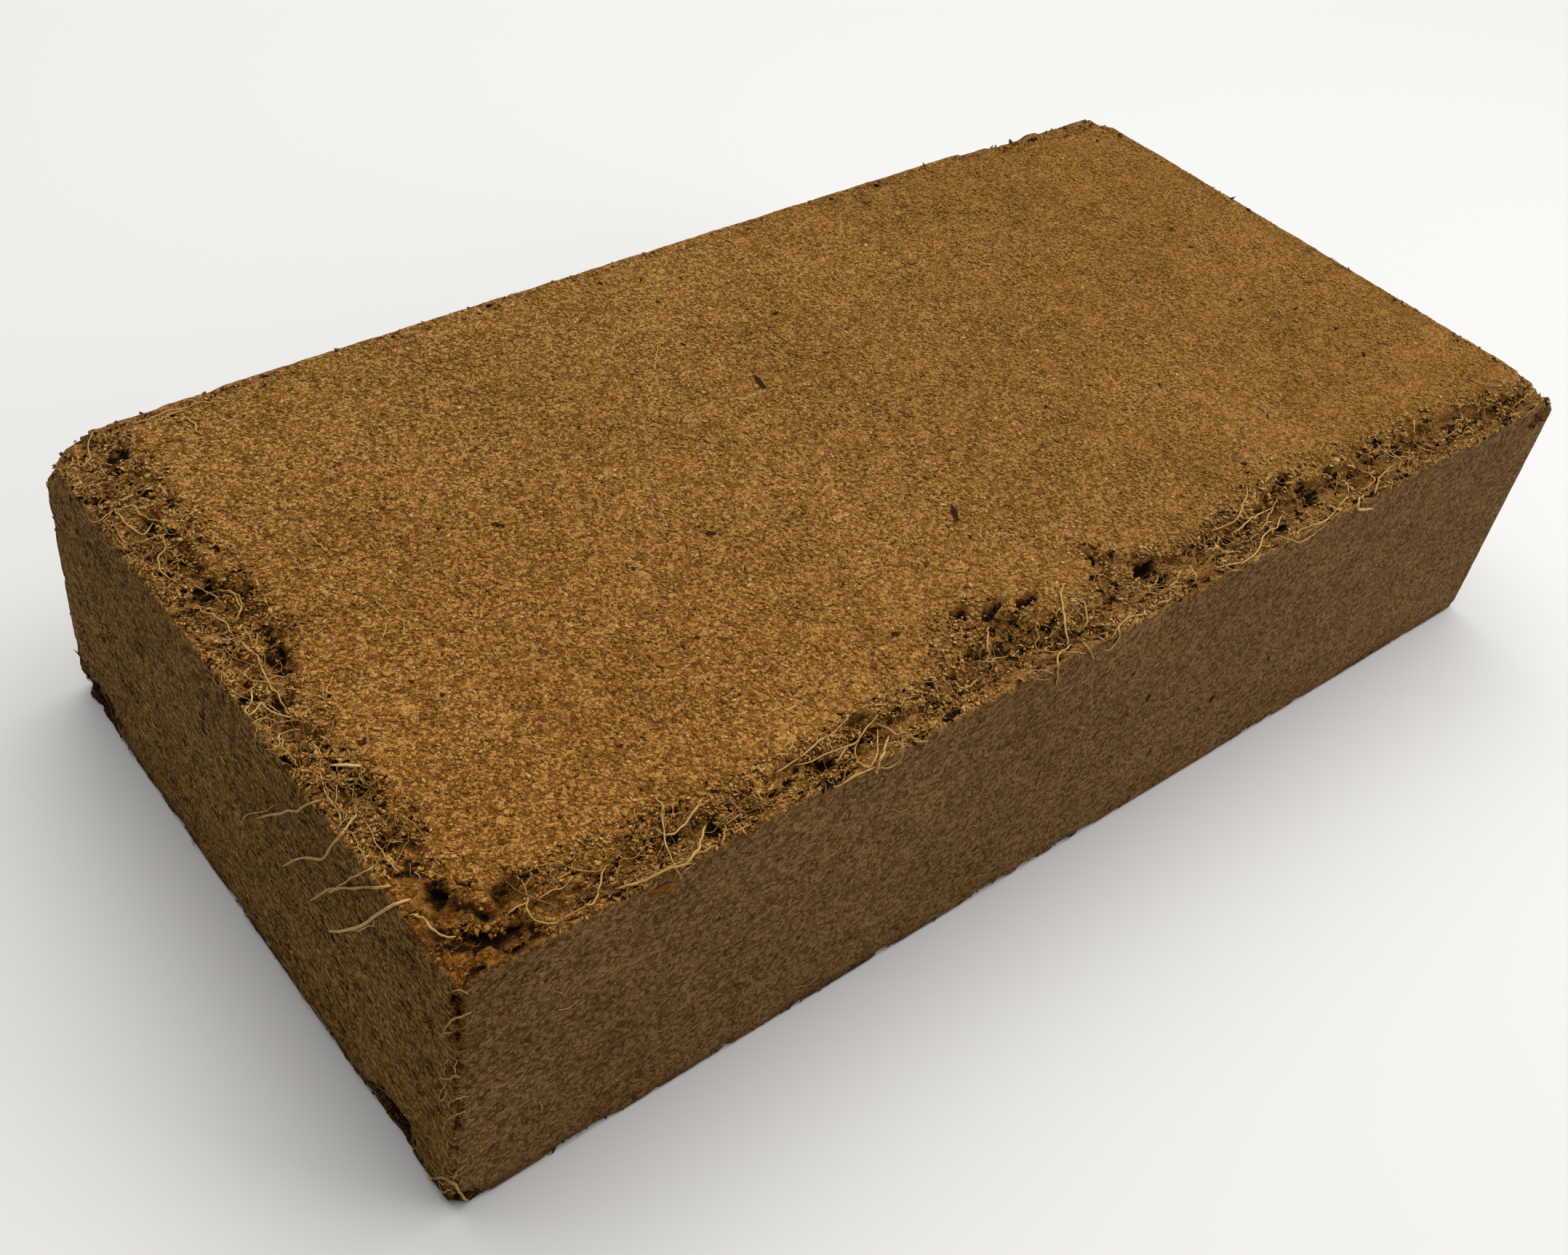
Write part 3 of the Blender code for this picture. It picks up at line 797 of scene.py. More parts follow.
# A strand of this width in pixels is built at the share STRAND_SLIMNESS of it, thinner ones at less, and
# wider ones are stiff. One that stands clear by FREE_END or more has a free second end.
USUAL_WIDTH = 8
STRAND_SLIMNESS = 0.52
FREE_END = 0.0015
STRANDS = (
    strand(7, 0.0020, (446, 1099), (414, 1112), (403, 1114), (383, 1117), (353, 1123)),
    strand(4, 0.0015, (386, 1103), (365, 1115), (348, 1117), (336, 1124), (333, 1136)),
    strand(8, 0.0022, (493, 1117), (483, 1131), (469, 1144), (455, 1165), (448, 1180), (431, 1182),
           (408, 1179), (390, 1189)),
    strand(8, 0.0022, (541, 1217), (507, 1220), (472, 1222), (452, 1224), (429, 1238)),
    strand(6, 0.0020, (515, 1191), (489, 1203), (470, 1217), (452, 1227)),
    strand(9, 0.0022, (567, 1235), (541, 1244), (514, 1260), (496, 1273), (472, 1279), (453, 1281)),
    strand(6, 0.0016, (517, 1265), (507, 1273), (483, 1280)),
    strand(5, 0.0010, (479, 1137), (489, 1158), (500, 1179), (503, 1193)),
    strand(5, 0, (503, 1131), (520, 1165), (541, 1193), (551, 1199)),
    strand(6, 0, (431, 1020), (441, 1038), (438, 1062), (445, 1089), (462, 1110), (469, 1131), (465, 1137)),
    strand(5, 0, (452, 1048), (458, 1069), (465, 1075), (462, 1100), (469, 1120)),
    strand(5, 0, (352, 903), (365, 931), (383, 958), (400, 986)),
    strand(5, 0, (400, 927), (379, 929), (362, 936), (346, 948), (340, 955)),
    strand(6, 0.0008, (345, 945), (348, 955), (343, 969), (338, 977), (345, 981), (362, 965),
           (365, 972), (383, 982), (403, 989)),
    strand(5, 0, (345, 998), (352, 991), (369, 988), (383, 993), (396, 991)),
    strand(5, 0.0010, (417, 1003), (386, 1007), (383, 1024), (365, 1031)),
    strand(5, 0.0006, (383, 1024), (400, 1038), (410, 1055)),
    strand(6, 0, (300, 812), (321, 817), (329, 831), (328, 845), (321, 858)),
    strand(5, 0, (517, 827), (538, 845)),
    strand(5, 0, (534, 852), (526, 877)),
    strand(4, 0, (541, 848), (555, 855), (555, 869)),
    strand(5, 0, (458, 929), (448, 951)),
    strand(3, 0, (472, 1015), (507, 1014), (541, 1018)),
    strand(5, 0, (448, 860), (429, 874)),
    strand(6, 0, (714, 1202), (723, 1218), (727, 1234), (724, 1246), (736, 1262), (749, 1269),
           (769, 1265), (784, 1256), (805, 1246), (811, 1240)),
    strand(6, 0, (698, 1256), (713, 1245), (726, 1240)),
    strand(6, 0, (723, 1193), (744, 1191), (764, 1190), (790, 1194), (823, 1196), (830, 1191), (838, 1188)),
    strand(5, 0, (733, 1218), (749, 1212), (764, 1207), (782, 1202), (787, 1188), (791, 1180)),
    strand(5, 0, (739, 1236), (749, 1228), (769, 1222), (782, 1212), (790, 1203)),
    strand(6, 0, (834, 1189), (828, 1205), (823, 1226), (815, 1241), (800, 1246)),
    strand(8, 0.0006, (843, 1222), (861, 1219), (876, 1214), (894, 1207), (909, 1197), (930, 1191),
           (953, 1184)),
    strand(6, 0.0006, (920, 1180), (930, 1195), (936, 1208)),
    strand(5, 0.0006, (958, 1185), (943, 1195), (935, 1208)),
    strand(7, 0, (560, 1255), (580, 1262), (596, 1277), (611, 1287), (626, 1290)),
    strand(4, 0, (764, 1389), (784, 1384), (796, 1375)),
    strand(7, 0, (1464, 800), (1459, 817), (1461, 837), (1464, 857), (1467, 880), (1467, 888)),
    strand(6, 0.0006, (1474, 883), (1462, 893), (1455, 903), (1454, 923), (1455, 944)),
    strand(5, 0, (1414, 896), (1434, 895), (1459, 896), (1480, 898), (1497, 895)),
    strand(6, 0, (1465, 824), (1480, 822), (1492, 832), (1494, 849), (1492, 869)),
    strand(5, 0, (1488, 875), (1508, 876), (1520, 880), (1534, 869), (1538, 863)),
    strand(7, 0, (1514, 893), (1523, 895), (1533, 883), (1540, 872), (1537, 860), (1554, 849), (1574, 843)),
    strand(6, 0, (1359, 862), (1358, 880), (1358, 909)),
    strand(5, 0, (1342, 909), (1358, 911), (1371, 906), (1388, 902)),
    strand(7, 0, (1589, 833), (1600, 826), (1609, 820), (1607, 809), (1617, 797), (1626, 784)),
    strand(5, 0, (1580, 817), (1580, 807), (1589, 801), (1592, 791)),
    strand(5, 0.0006, (1411, 928), (1425, 921), (1439, 921), (1451, 931)),
    strand(5, 0.0006, (1411, 926), (1428, 934), (1445, 935)),
    strand(6, 0, (1310, 936), (1322, 945), (1333, 944), (1345, 932)),
    strand(5, 0.0008, (1250, 1014), (1261, 1020), (1276, 1018)),
    strand(5, 0.0008, (1480, 876), (1491, 886), (1503, 901), (1503, 909)),
    strand(5, 0.0012, (114, 707), (128, 718), (142, 713), (155, 703), (162, 704), (168, 713),
           (178, 721), (193, 731), (203, 730), (208, 718)),
    strand(6, 0, (166, 700), (183, 696), (190, 705), (206, 713), (229, 719)),
    strand(6, 0, (224, 733), (226, 751), (219, 764), (219, 779), (229, 792), (244, 801)),
    strand(5, 0, (229, 756), (239, 760), (244, 767), (257, 774)),
    strand(5, 0, (183, 745), (203, 742), (221, 736), (229, 733)),
    strand(5, 0, (264, 804), (282, 813), (298, 823), (305, 828)),
    strand(6, 0, (303, 811), (321, 816), (331, 825), (330, 841), (321, 858)),
    strand(6, 0, (272, 839), (287, 843), (305, 853), (316, 864), (318, 871)),
    strand(6, 0, (316, 879), (331, 884), (341, 894), (354, 902), (360, 915)),
    strand(6, 0, (336, 864), (344, 876), (349, 889), (353, 879), (354, 869)),
    strand(5, 0, (104, 626), (109, 639), (114, 642), (124, 629), (123, 614), (129, 589)),
    strand(6, 0, (216, 578), (231, 571), (252, 564)),
    strand(6, 0, (242, 579), (257, 575), (267, 583), (272, 593), (279, 599)),
    strand(8, 0, (166, 689), (183, 680)),
    strand(4, 0.0006, (160, 739), (165, 746), (173, 751)),
    strand(4, 0.0006, (174, 760), (179, 768), (185, 772)),
    strand(5, 0, (1853, 665), (1853, 679), (1842, 695), (1829, 710), (1816, 718), (1797, 721), tint=0.72),
    strand(5, 0.0006, (1834, 714), (1816, 727), (1803, 737), (1788, 743), (1768, 740), (1752, 735)),
    strand(5, 0, (1762, 706), (1756, 724), (1743, 730), (1733, 746), (1724, 762), (1711, 772),
           (1689, 777), (1666, 781)),
    strand(5, 0.0006, (1671, 772), (1682, 775), (1692, 783), (1708, 783)),
    strand(6, 0, (1713, 662), (1716, 679), (1711, 694), (1705, 708), (1698, 718), (1679, 726), (1663, 729)),
    strand(5, 0, (1756, 686), (1748, 702), (1740, 718), (1730, 732)),
    strand(5, 0, (1746, 699), (1724, 711), (1708, 724), (1692, 735)),
    strand(8, 0.0010, (1870, 683), (1867, 699), (1886, 700)),
    strand(6, 0, (1915, 640), (1902, 651), (1893, 665), (1890, 683)),
    strand(5, 0, (1870, 646), (1883, 651), (1890, 660), (1880, 670), (1867, 673)),
    strand(4, 0, (2111, 534), (2094, 549), (2078, 561)),
    strand(4, 0, (1944, 577), (1945, 596)),
    strand(4, 0, (2004, 590), (1988, 600), (1972, 600)),
    strand(6, 0, (1168, 984), (1153, 1000), (1137, 1013), (1117, 1028), (1099, 1041), (1079, 1055),
           (1063, 1065)),
    strand(6, 0, (1210, 980), (1198, 993), (1188, 1005), (1178, 1018), (1158, 1028), (1137, 1037),
           (1114, 1048), (1089, 1054)),
    strand(6, 0, (1206, 998), (1207, 1018), (1206, 1039), (1196, 1053), (1186, 1051), (1178, 1041),
           (1175, 1028), (1181, 1018)),
    strand(8, 0.0006, (1223, 1014), (1214, 1034), (1206, 1054), (1205, 1062)),
    strand(6, 0.0004, (1239, 1011), (1243, 1028), (1237, 1046), (1224, 1054), (1206, 1055),
           (1188, 1060), (1170, 1069), (1153, 1079), (1142, 1082)),
    strand(6, 0.0004, (1201, 995), (1219, 1000), (1232, 1008), (1249, 1009), (1257, 1018), (1270, 1019)),
    strand(7, 0, (1167, 1026), (1158, 1036), (1149, 1049)),
    strand(7, 0, (969, 1102), (959, 1108), (951, 1120), (941, 1133), (931, 1143), (915, 1147), (900, 1141)),
    strand(6, 0.0006, (900, 1092), (910, 1108), (911, 1128), (913, 1153), (920, 1176), (931, 1194)),
    strand(8, 0.0006, (971, 1136), (964, 1153), (959, 1169), (946, 1184), (938, 1197)),
    strand(6, 0.0006, (900, 1198), (918, 1192), (936, 1184), (954, 1175), (971, 1167), (987, 1162)),
    strand(5, 0.0004, (997, 1133), (996, 1148), (992, 1161)),
    strand(5, 0, (997, 1134), (1012, 1124), (1017, 1118)),
    strand(5, 0, (1039, 1051), (1050, 1062), (1058, 1069)),
    strand(5, 0, (952, 1090), (971, 1091), (992, 1095), (1007, 1102), (1017, 1115)),
    strand(5, 0.0004, (1035, 1132), (1022, 1138), (1010, 1146)),
    strand(4, 0, (1283, 1090), (1265, 1097), (1249, 1108), (1237, 1114), (1221, 1111)),
    strand(4, 0, (621, 1362), (634, 1361), (646, 1367)),
    strand(7, 0.0004, (649, 1391), (636, 1396), (622, 1401), (614, 1409), (612, 1418), (622, 1418)),
    strand(4, 0.0004, (620, 1454), (612, 1463), (611, 1474)),
    strand(4, 0.0004, (629, 1456), (625, 1467), (627, 1476)),
    strand(6, 0.0006, (606, 1484), (616, 1481), (631, 1480)),
    strand(6, 0.0006, (616, 1483), (612, 1492), (606, 1501), (605, 1512), (611, 1510), (616, 1496)),
    strand(4, 0.0004, (645, 1506), (627, 1511), (616, 1519)),
    strand(5, 0.0004, (645, 1530), (627, 1530), (616, 1539), (607, 1559)),
    strand(4, 0.0004, (618, 1565), (614, 1581), (616, 1592)),
    strand(5, 0.0004, (614, 1590), (609, 1608), (610, 1617)),
    strand(8, 0.0004, (582, 1616), (596, 1619), (614, 1620), (625, 1628), (636, 1641), (645, 1649)),
    strand(5, 0.0004, (640, 1601), (629, 1610), (622, 1623)),
    strand(4, 0.0004, (638, 1615), (631, 1628)),
    strand(6, 0.0004, (598, 1639), (611, 1637), (625, 1636)),
    strand(3, 0, (560, 1574), (571, 1581), (576, 1570), (571, 1561)),
    strand(3, 0, (567, 1492), (576, 1507)),
    strand(3, 0, (703, 1377), (694, 1381)),
    strand(3, 0, (665, 1507), (680, 1498), (698, 1487), (707, 1481)),
    strand(3, 0, (734, 1467), (725, 1474)),
    strand(5, 0, (743, 1530), (745, 1519), (741, 1514)),
    strand(4, 0, (1218, 673), (1250, 680), (1278, 686), (1298, 688)),
    strand(5, 0, (179, 585), (212, 573), (251, 561), (292, 552)),
    strand(5, 0, (427, 739), (438, 748), (452, 760)),
    strand(4, 0, (508, 672), (518, 669)),
    strand(4, 0, (905, 474), (902, 492), (900, 512)),
    strand(4, 0, (807, 1053), (826, 1063), (852, 1071), (870, 1078)),
    strand(9, 0.0008, (457, 1052), (476, 1052), (496, 1053), tint=0.95),
)
STRAND_STATIONS = 20
# How far a strand may stand clear of the block's box on its near sides and on its far sides.
STANDS_CLEAR = (0.0024, 0.0024, 0.0)
STANDS_CLEAR_FAR = (0.0004, 0.0, 0.0010)


def traced_strands(widths, clear, routes, rng):
    """Paths and radii of strands seen in the photograph.

    Their points lie on the rays through their pixels: over hollows, part of the way down from the
    face, and towards the second end as far clear of the block as it stands.
    """
    pixels = np.concatenate([smooth_route(np.array(route, float), STRAND_STATIONS) for route in routes])
    camera, ways = photo_rays(pixels)
    faces = meets_box(camera, ways)
    depth = how_deep(faces, ways, 0.008, 16).reshape(len(routes), -1)
    depth = eased(depth, 4) * 0.6
    away = np.linalg.norm(faces - camera, axis=1).reshape(depth.shape)
    share = np.linspace(0, 1, STRAND_STATIONS)[None]
    focal = CAMERA_LENS / SENSOR * PHOTO_SIZE[0]
    slim = STRAND_SLIMNESS * np.sqrt(widths / USUAL_WIDTH)[:, None]
    radius = 0.5 * widths[:, None] * away.mean(axis=1, keepdims=True) / focal * slim
    inwards = depth - radius * 1.4 - clear[:, None] * soft_step(share, 0.1, 1.0)
    free = clear[:, None] >= FREE_END
    inwards += 0.0012 * ((share < 0.02) | ((share > 0.98) & ~free))
    paths = (faces + inwards.reshape(-1, 1) * ways).reshape(len(routes), STRAND_STATIONS, 3)
    reach = np.linalg.norm(paths[:, -1] - paths[:, 0], axis=1)[:, None, None]
    supple = np.where(widths > USUAL_WIDTH, 0.25, 1.0)[:, None]
    kinks = eased(rng.normal(0, 0.00016, paths.shape), 1) * np.clip(reach / 0.006, 0.15, 1)
    knobs = 1 + rng.uniform(-0.22, 0.22, depth.shape) * supple
    paths = np.clip(paths + kinks * supple[..., None], LOW - STANDS_CLEAR, HIGH + STANDS_CLEAR_FAR)
    return paths, radius * knobs * (1 - 0.45 * np.abs(2 * share - 1) ** 4)


def loose_strands(material):
    """The strands that show singly in the photograph, joined in one piece."""
    rng = np.random.default_rng(31)
    widths, clear, tint = (np.array([row[column] for row in STRANDS], float) for column in range(3))
    walks = [traced_strands(widths, clear, [row[3] for row in STRANDS], rng)]
    return fibre_piece("loose_strands", walks, 6, tint, 0.07, 0.05, rng, material)


# Fibres over each arris: its name, the stretch along it, how many, the range across it, their range
# of lengths, their range of radii, how high they bow, and the seed.
THICK, FINE = (0.00003, 0.00008), (0.00003, 0.00006)
FIBRES = (
    ("front", -0.099, 0.099, 350, (-0.0006, 0.0062), (0.002, 0.008), THICK, 0.0005, 41),
    ("left", -0.050, 0.050, 200, (-0.0006, 0.0066), (0.002, 0.008), THICK, 0.0005, 42),
    ("back", -0.099, 0.099, 12, (0.0012, 0.0040), (0.002, 0.006), FINE, 0.0001, 43),
    ("right", -0.050, 0.050, 8, (0.0012, 0.0040), (0.002, 0.006), FINE, 0.0001, 44),
    ("near", 0.001, 0.040, 16, (-0.0014, 0.0016), (0.002, 0.006), FINE, 0.0003, 45),
    ("left_foot", -0.050, 0.050, 26, (-0.0040, -0.0012), (0.003, 0.009), FINE, 0.0002, 46),
    ("front_foot", -0.099, 0.099, 10, (-0.0030, -0.0012), (0.002, 0.005), FINE, 0.0001, 47),
)


def edge_fibres(material):
    """Random curly fibres along the crumbled arrises and, fewer, along the others."""
    walks = [arris_fibres(*row) for row in FIBRES]
    return fibre_piece("edge_fibres", walks, 3, 0.46, 0.20, 0.02, np.random.default_rng(48), material)


# Crumbs over each arris: its name, the stretch along it, how many, from where across it, and its ledge.
CRUMBS = (
    ("front", -0.0990, 0.0985, 12500, -0.0006, FRONT_LEDGE),
    ("left", -0.0500, 0.0495, 7200, -0.0006, LEFT_LEDGE),
    ("back", -0.0985, 0.0985, 400, 0.0004, BACK_LEDGE),
    ("right", -0.0495, 0.0495, 200, 0.0004, RIGHT_LEDGE),
)
# The least and greatest half length, width and thickness of a splinter.
SPLINTER_LEAST = (0.0005, 0.00005, 0.00004)
SPLINTER_MOST = (0.0014, 0.00010, 0.00008)


def edge_crumbs(material):
    """Crumbs and short splinters of pith that lie in the crumbled ledges, in clumps between the gaps.

    They lie at random along an arris and over the ledge's width there, sunk to the block under them.
    """
    rng = np.random.default_rng(51)
    places, outs = [], []
    for arris, low, high, count, lowest, profile in CRUMBS:
        along = rng.uniform(low, high, count)
        stations, widths, _ = zip(*profile)
        width = np.interp(along, stations, widths)
        across = lowest + rng.beta(1.2, 1.4, count) * width * 1.35
        place, out = over_arris(arris, along, across)
        clump = crevices(place) < rng.uniform(0.1, 0.7, count)
        clump &= hole_depth(place, place[:, 0], place[:, 1], TOP_HOLES) < OPEN_HOLE
        clump &= clump_gaps(place) < OPEN_GAP
        place, out = place[clump], out[clump]
        depth = settled(place, out)
        places.append(place - (depth + rng.uniform(-0.00016, 0.00012, len(place)))[:, None] * out)
        outs.append(out)
    places, outs = np.concatenate(places), np.concatenate(outs)
    count = len(places)
    width = np.clip(rng.lognormal(math.log(0.00019), 0.50, count), 0.00008, 0.00042)
    sizes = width[:, None] * rng.uniform((1.0, 0.6, 0.35), (2.1, 1.2, 0.7), (count, 3))
    splinter = rng.random(count) < 0.07
    sizes[splinter] = rng.uniform(SPLINTER_LEAST, SPLINTER_MOST, (splinter.sum(), 3))
    lean = np.where(splinter, 0.15, 0.5)
    normals = unit(outs + lean[:, None] * rng.normal(0, 1, (count, 3)))
    axes = frames(normals, rng.uniform(0, math.tau, count))
    points, faces, owner = joined_copies(crumb_shape(), places, axes, sizes, CRUMB_UNEVEN, rng)
    tint = np.clip(rng.normal(0.80, 0.23, count), 0.02, 1.20) + 0.08 * splinter
    tint -= 0.25 * soft_step(width, 0.00026, 0.00042)
    return new_piece("edge_crumbs", points, faces, material, tint=tint[owner], gap=np.ones(len(points)))


# All faces but the underside: a corner, the way along, the way up or over, the way out, and the lengths.
FACES = {
    "top": ((-LENGTH / 2, -WIDTH / 2, HEIGHT), (1, 0, 0), (0, 1, 0), (0, 0, 1), LENGTH, WIDTH),
    "front": ((-LENGTH / 2, -WIDTH / 2, 0), (1, 0, 0), (0, 0, 1), (0, -1, 0), LENGTH, HEIGHT),
    "back": ((-LENGTH / 2, WIDTH / 2, 0), (1, 0, 0), (0, 0, 1), (0, 1, 0), LENGTH, HEIGHT),
    "left": ((-LENGTH / 2, -WIDTH / 2, 0), (0, 1, 0), (0, 0, 1), (-1, 0, 0), WIDTH, HEIGHT),
    "right": ((LENGTH / 2, -WIDTH / 2, 0), (0, 1, 0), (0, 0, 1), (1, 0, 0), WIDTH, HEIGHT),
}
# Chips in the upright faces: face, how many, how much they tilt out, how much they slant along the
# face, and how mottled they are.
CHIPS = (
    ("front", 4600, 0.05, 1.6, 0.15),
    ("left", 3600, 0.13, 0.4, 0.22),
    ("back", 2400, 0.06, 1.6, 0.15),
    ("right", 1400, 0.06, 1.6, 0.15),
)
CHIP_THICKNESS = 0.00016
# Hairs on the faces: face, how many, and their range of lengths.
HAIRS = (
    ("top", 520, (0.0012, 0.0038)),
    ("front", 240, (0.0010, 0.0032)),
    ("left", 200, (0.0012, 0.0040)),
    ("back", 120, (0.0010, 0.0032)),
    ("right", 70, (0.0010, 0.0032)),
)
# How high a hair lies over the face along its length: its tips are in the pith.
HAIR_RISE = np.array((-0.0001, 0.00010, 0.00014, 0.00014, 0.00010, -0.0001))
HAIR_MARGIN = 0.003


def on_face(face, u, v):
    """Places on a face, u along it and v up it, and the way out at each."""
    corner, along, up, out = (np.array(part, float) for part in FACES[face][:4])
    skin = corner + u[..., None] * along + v[..., None] * up
    return skin, np.broadcast_to(out, skin.shape)


def side_chips(material):
    """Flat chips of pith and short fibre pressed level into the upright faces.

    One chip lies in each cell of a square grid on a face, sunk to the block under it, along the face
    with a random slope, and lifted a little out of it.
    """
    rng = np.random.default_rng(61)
    places, ways, outs, mottles = [], [], [], []
    for face, count, lifted, slant, mottle in CHIPS:
        _, along, up, _, length, height = FACES[face]
        u, v = spread_over(0.0008, length - 0.0008, 0.0006, height - 0.0010, count, rng)
        skin, outward = on_face(face, u, v)
        sink = settled(skin, outward) + rng.uniform(0.00004, 0.00014, len(u))
        places.append(skin - sink[:, None] * outward)
        slope = rng.normal(0, slant, len(u))[:, None]
        ways.append(unit(np.array(along) + slope * np.array(up)))
        outs.append(unit(outward + rng.normal(0, lifted, (len(u), 3))))
        mottles.append(np.full(len(u), mottle))
    places, ways, outs, mottle = (np.concatenate(parts) for parts in (places, ways, outs, mottles))
    count = len(places)
    second = unit(np.cross(outs, ways))
    axes = np.stack([np.cross(second, outs), second, outs], axis=2)
    long = np.clip(rng.lognormal(math.log(0.00034), 0.45, count), 0.00015, 0.0014)
    wide = np.clip(long * rng.uniform(0.30, 0.8, count), 0.00010, 0.0004)
    sizes = np.stack([long, wide, np.full(count, CHIP_THICKNESS)], axis=1)
    points, faces, owner = joined_copies(chip_shape(), places, axes, sizes, CHIP_UNEVEN, rng)
    points[:, 2] = np.maximum(points[:, 2], 0.00002)
    tint = np.clip(rng.normal(0.50, mottle), 0.02, 1.0)
    # Painted contact shadow: chips low on the faces, near the floor, are darker.
    tint -= (1 - soft_step(places[:, 2], 0.0004, 0.0040)) * rng.uniform(0.0, 0.5, count)
    return new_piece("side_chips", points, faces, material, smooth=False, tint=tint[owner])


def surface_hairs(material):
    """Short fine fibres that lie flat on the faces: any way round on the top, level on the sides."""
    rng = np.random.default_rng(71)
    walks = []
    for face, count, lengths in HAIRS:
        length, height = FACES[face][4:]
        heading = rng.uniform(0, math.tau, count)
        if face != "top":
            heading = rng.normal(0, 0.4, count)
        walk = curly_walks(count, HAIR_STATIONS, rng.uniform(*lengths, count), 0.7, heading, rng)
        u = rng.uniform(HAIR_MARGIN, length - HAIR_MARGIN, count)[:, None] + walk[..., 0]
        v = rng.uniform(HAIR_MARGIN, height - HAIR_MARGIN, count)[:, None] + walk[..., 1]
        skin, outward = on_face(face, u, v)
        depth = eased(settled(skin, outward), 2)
        paths = skin + (HAIR_RISE - depth)[..., None] * outward
        walks.append((paths, tapered(rng.uniform(0.00003, 0.00006, count), HAIR_STATIONS)))
    return fibre_piece("surface_hairs", walks, 3, 0.45, 0.20, 0.05, rng, material)


# Dark flecks of bark that show singly: pixel in the photograph, length, width and turn in degrees.
BARK_FLECKS = (
    ((1046, 526), 0.0040, 0.0010, 80),
    ((1313, 706), 0.0036, 0.0008, 60),
    ((498, 1020), 0.0013, 0.0008, 20),
    ((976, 733), 0.0020, 0.0008, 150),
    ((683, 721), 0.0024, 0.0007, 130),
    ((475, 1105), 0.0016, 0.0007, 40),
    ((1579, 959), 0.0016, 0.0009, 100),
    ((1558, 927), 0.0009, 0.0006, 20),
    ((1666, 961), 0.0014, 0.0010, 60),
    ((1744, 905), 0.0012, 0.0005, 110),
    ((1741, 983), 0.0010, 0.0005, 10),
)
SMALL_FLECKS = 36
FLECK_THICKNESS = 0.00022


def seen_places(rows):
    """Where the flecks of a table lie on the box, the way out of the face there, and their turns."""
    camera, ways = photo_rays([pixel for pixel, *_ in rows])
    places = meets_box(camera, ways)
    outs = np.where(places[:, 2:3] > HEIGHT - 1e-6, (0.0, 0.0, 1.0), (0.0, -1.0, 0.0))
    return places, outs, np.radians([turn for *_, turn in rows])


def bark_flecks(material):
    """Dark slivers of bark: the ones seen singly, and a random scatter of small ones over the top."""
    rng = np.random.default_rng(81)
    places, outs, turns = seen_places(BARK_FLECKS)
    sizes = [(long / 2, wide / 2, FLECK_THICKNESS) for _, long, wide, _ in BARK_FLECKS]
    count = SMALL_FLECKS
    x, y = rng.uniform(-0.088, 0.096, count), rng.uniform(-0.038, 0.047, count)
    places = np.vstack([places, np.stack([x, y, np.full(count, HEIGHT)], axis=1)])
    outs = np.vstack([outs, np.tile((0.0, 0.0, 1.0), (count, 1))])
    long = rng.uniform(0.0003, 0.0007, count)
    wide = long * rng.uniform(0.3, 0.7, count)
    sizes = np.vstack([sizes, np.stack([long, wide, np.full(count, FLECK_THICKNESS)], axis=1)])
    axes = frames(outs, np.concatenate([turns, rng.uniform(0, math.tau, count)]))
    places = places - 0.00002 * outs
    points, faces, _ = joined_copies(chip_shape(), places, axes, sizes, FLECK_UNEVEN, rng)
    return new_piece("bark_flecks", points, faces, material, smooth=False)


# Flat shards of husk: pixel of the middle, length, width and turn in degrees.
HUSK_SHARDS = (
    ((912, 1222), 0.0040, 0.0017, -12),
    ((1778, 681), 0.0016, 0.0010, 40),
    ((1192, 274), 0.0032, 0.0014, 35),
    ((1255, 360), 0.0020, 0.0011, 10),
)
LEAF_RINGS = 9
LEAF_SIDES = 12


def husk_shards(material):
    """Thin bent leaves of husk: an ellipsoid squashed flat, with height bend * (1 - u^2) on its length.

    Fine lumps make its outline ragged.
    """
    u, v = np.linspace(0, math.pi, LEAF_RINGS), np.linspace(0, math.tau, LEAF_SIDES + 1)[:-1]
    u, v = np.meshgrid(u, v, indexing="ij")
    leaf = np.stack([np.cos(u), np.sin(u) * np.cos(v), np.sin(u) * np.sin(v)], axis=-1).reshape(-1, 3)
    near = np.arange(LEAF_SIDES)
    rings = np.arange(LEAF_RINGS - 1)[:, None] * LEAF_SIDES
    first, second = rings + near, rings + (near + 1) % LEAF_SIDES
    ring = [first, first + LEAF_SIDES, second + LEAF_SIDES, second]
    faces = np.stack(ring, axis=-1).reshape(-1, 4)
    places, outs, turns = seen_places(HUSK_SHARDS)
    bodies = []
    for axis, place, out, (_, long, wide, _) in zip(frames(outs, turns), places, outs, HUSK_SHARDS):
        torn = 1 + 0.22 * lumps(leaf + 3 * place / long, 0.55, 85)[:, None]
        body = leaf * torn * (long / 2, wide / 2, 0.00010)
        body[:, 2] += 0.00012 * (1 - leaf[:, 0] ** 2) - 0.00006 * leaf[:, 1] ** 2
        bodies.append(place + 0.00004 * out + body @ axis.T)
    offsets = np.arange(len(bodies))[:, None, None] * len(leaf)
    faces = (faces[None] + offsets).reshape(-1, 4)
    return new_piece("husk_shards", np.concatenate(bodies), faces, material)


# Shader groups and materials.
def new_group(name, outputs, inputs=()):
    """A shader node group: a Position and the given numbers go in, and the named numbers come out."""
    tree = bpy.data.node_groups.new(name, "ShaderNodeTree")
    tree.interface.new_socket("Position", in_out="INPUT", socket_type="NodeSocketVector")
    for label, value in inputs:
        socket = tree.interface.new_socket(label, in_out="INPUT", socket_type="NodeSocketFloat")
        socket.default_value = value
    for label in outputs:
        tree.interface.new_socket(label, in_out="OUTPUT", socket_type="NodeSocketFloat")
    return tree, tree.nodes.new("NodeGroupInput").outputs, tree.nodes.new("NodeGroupOutput")


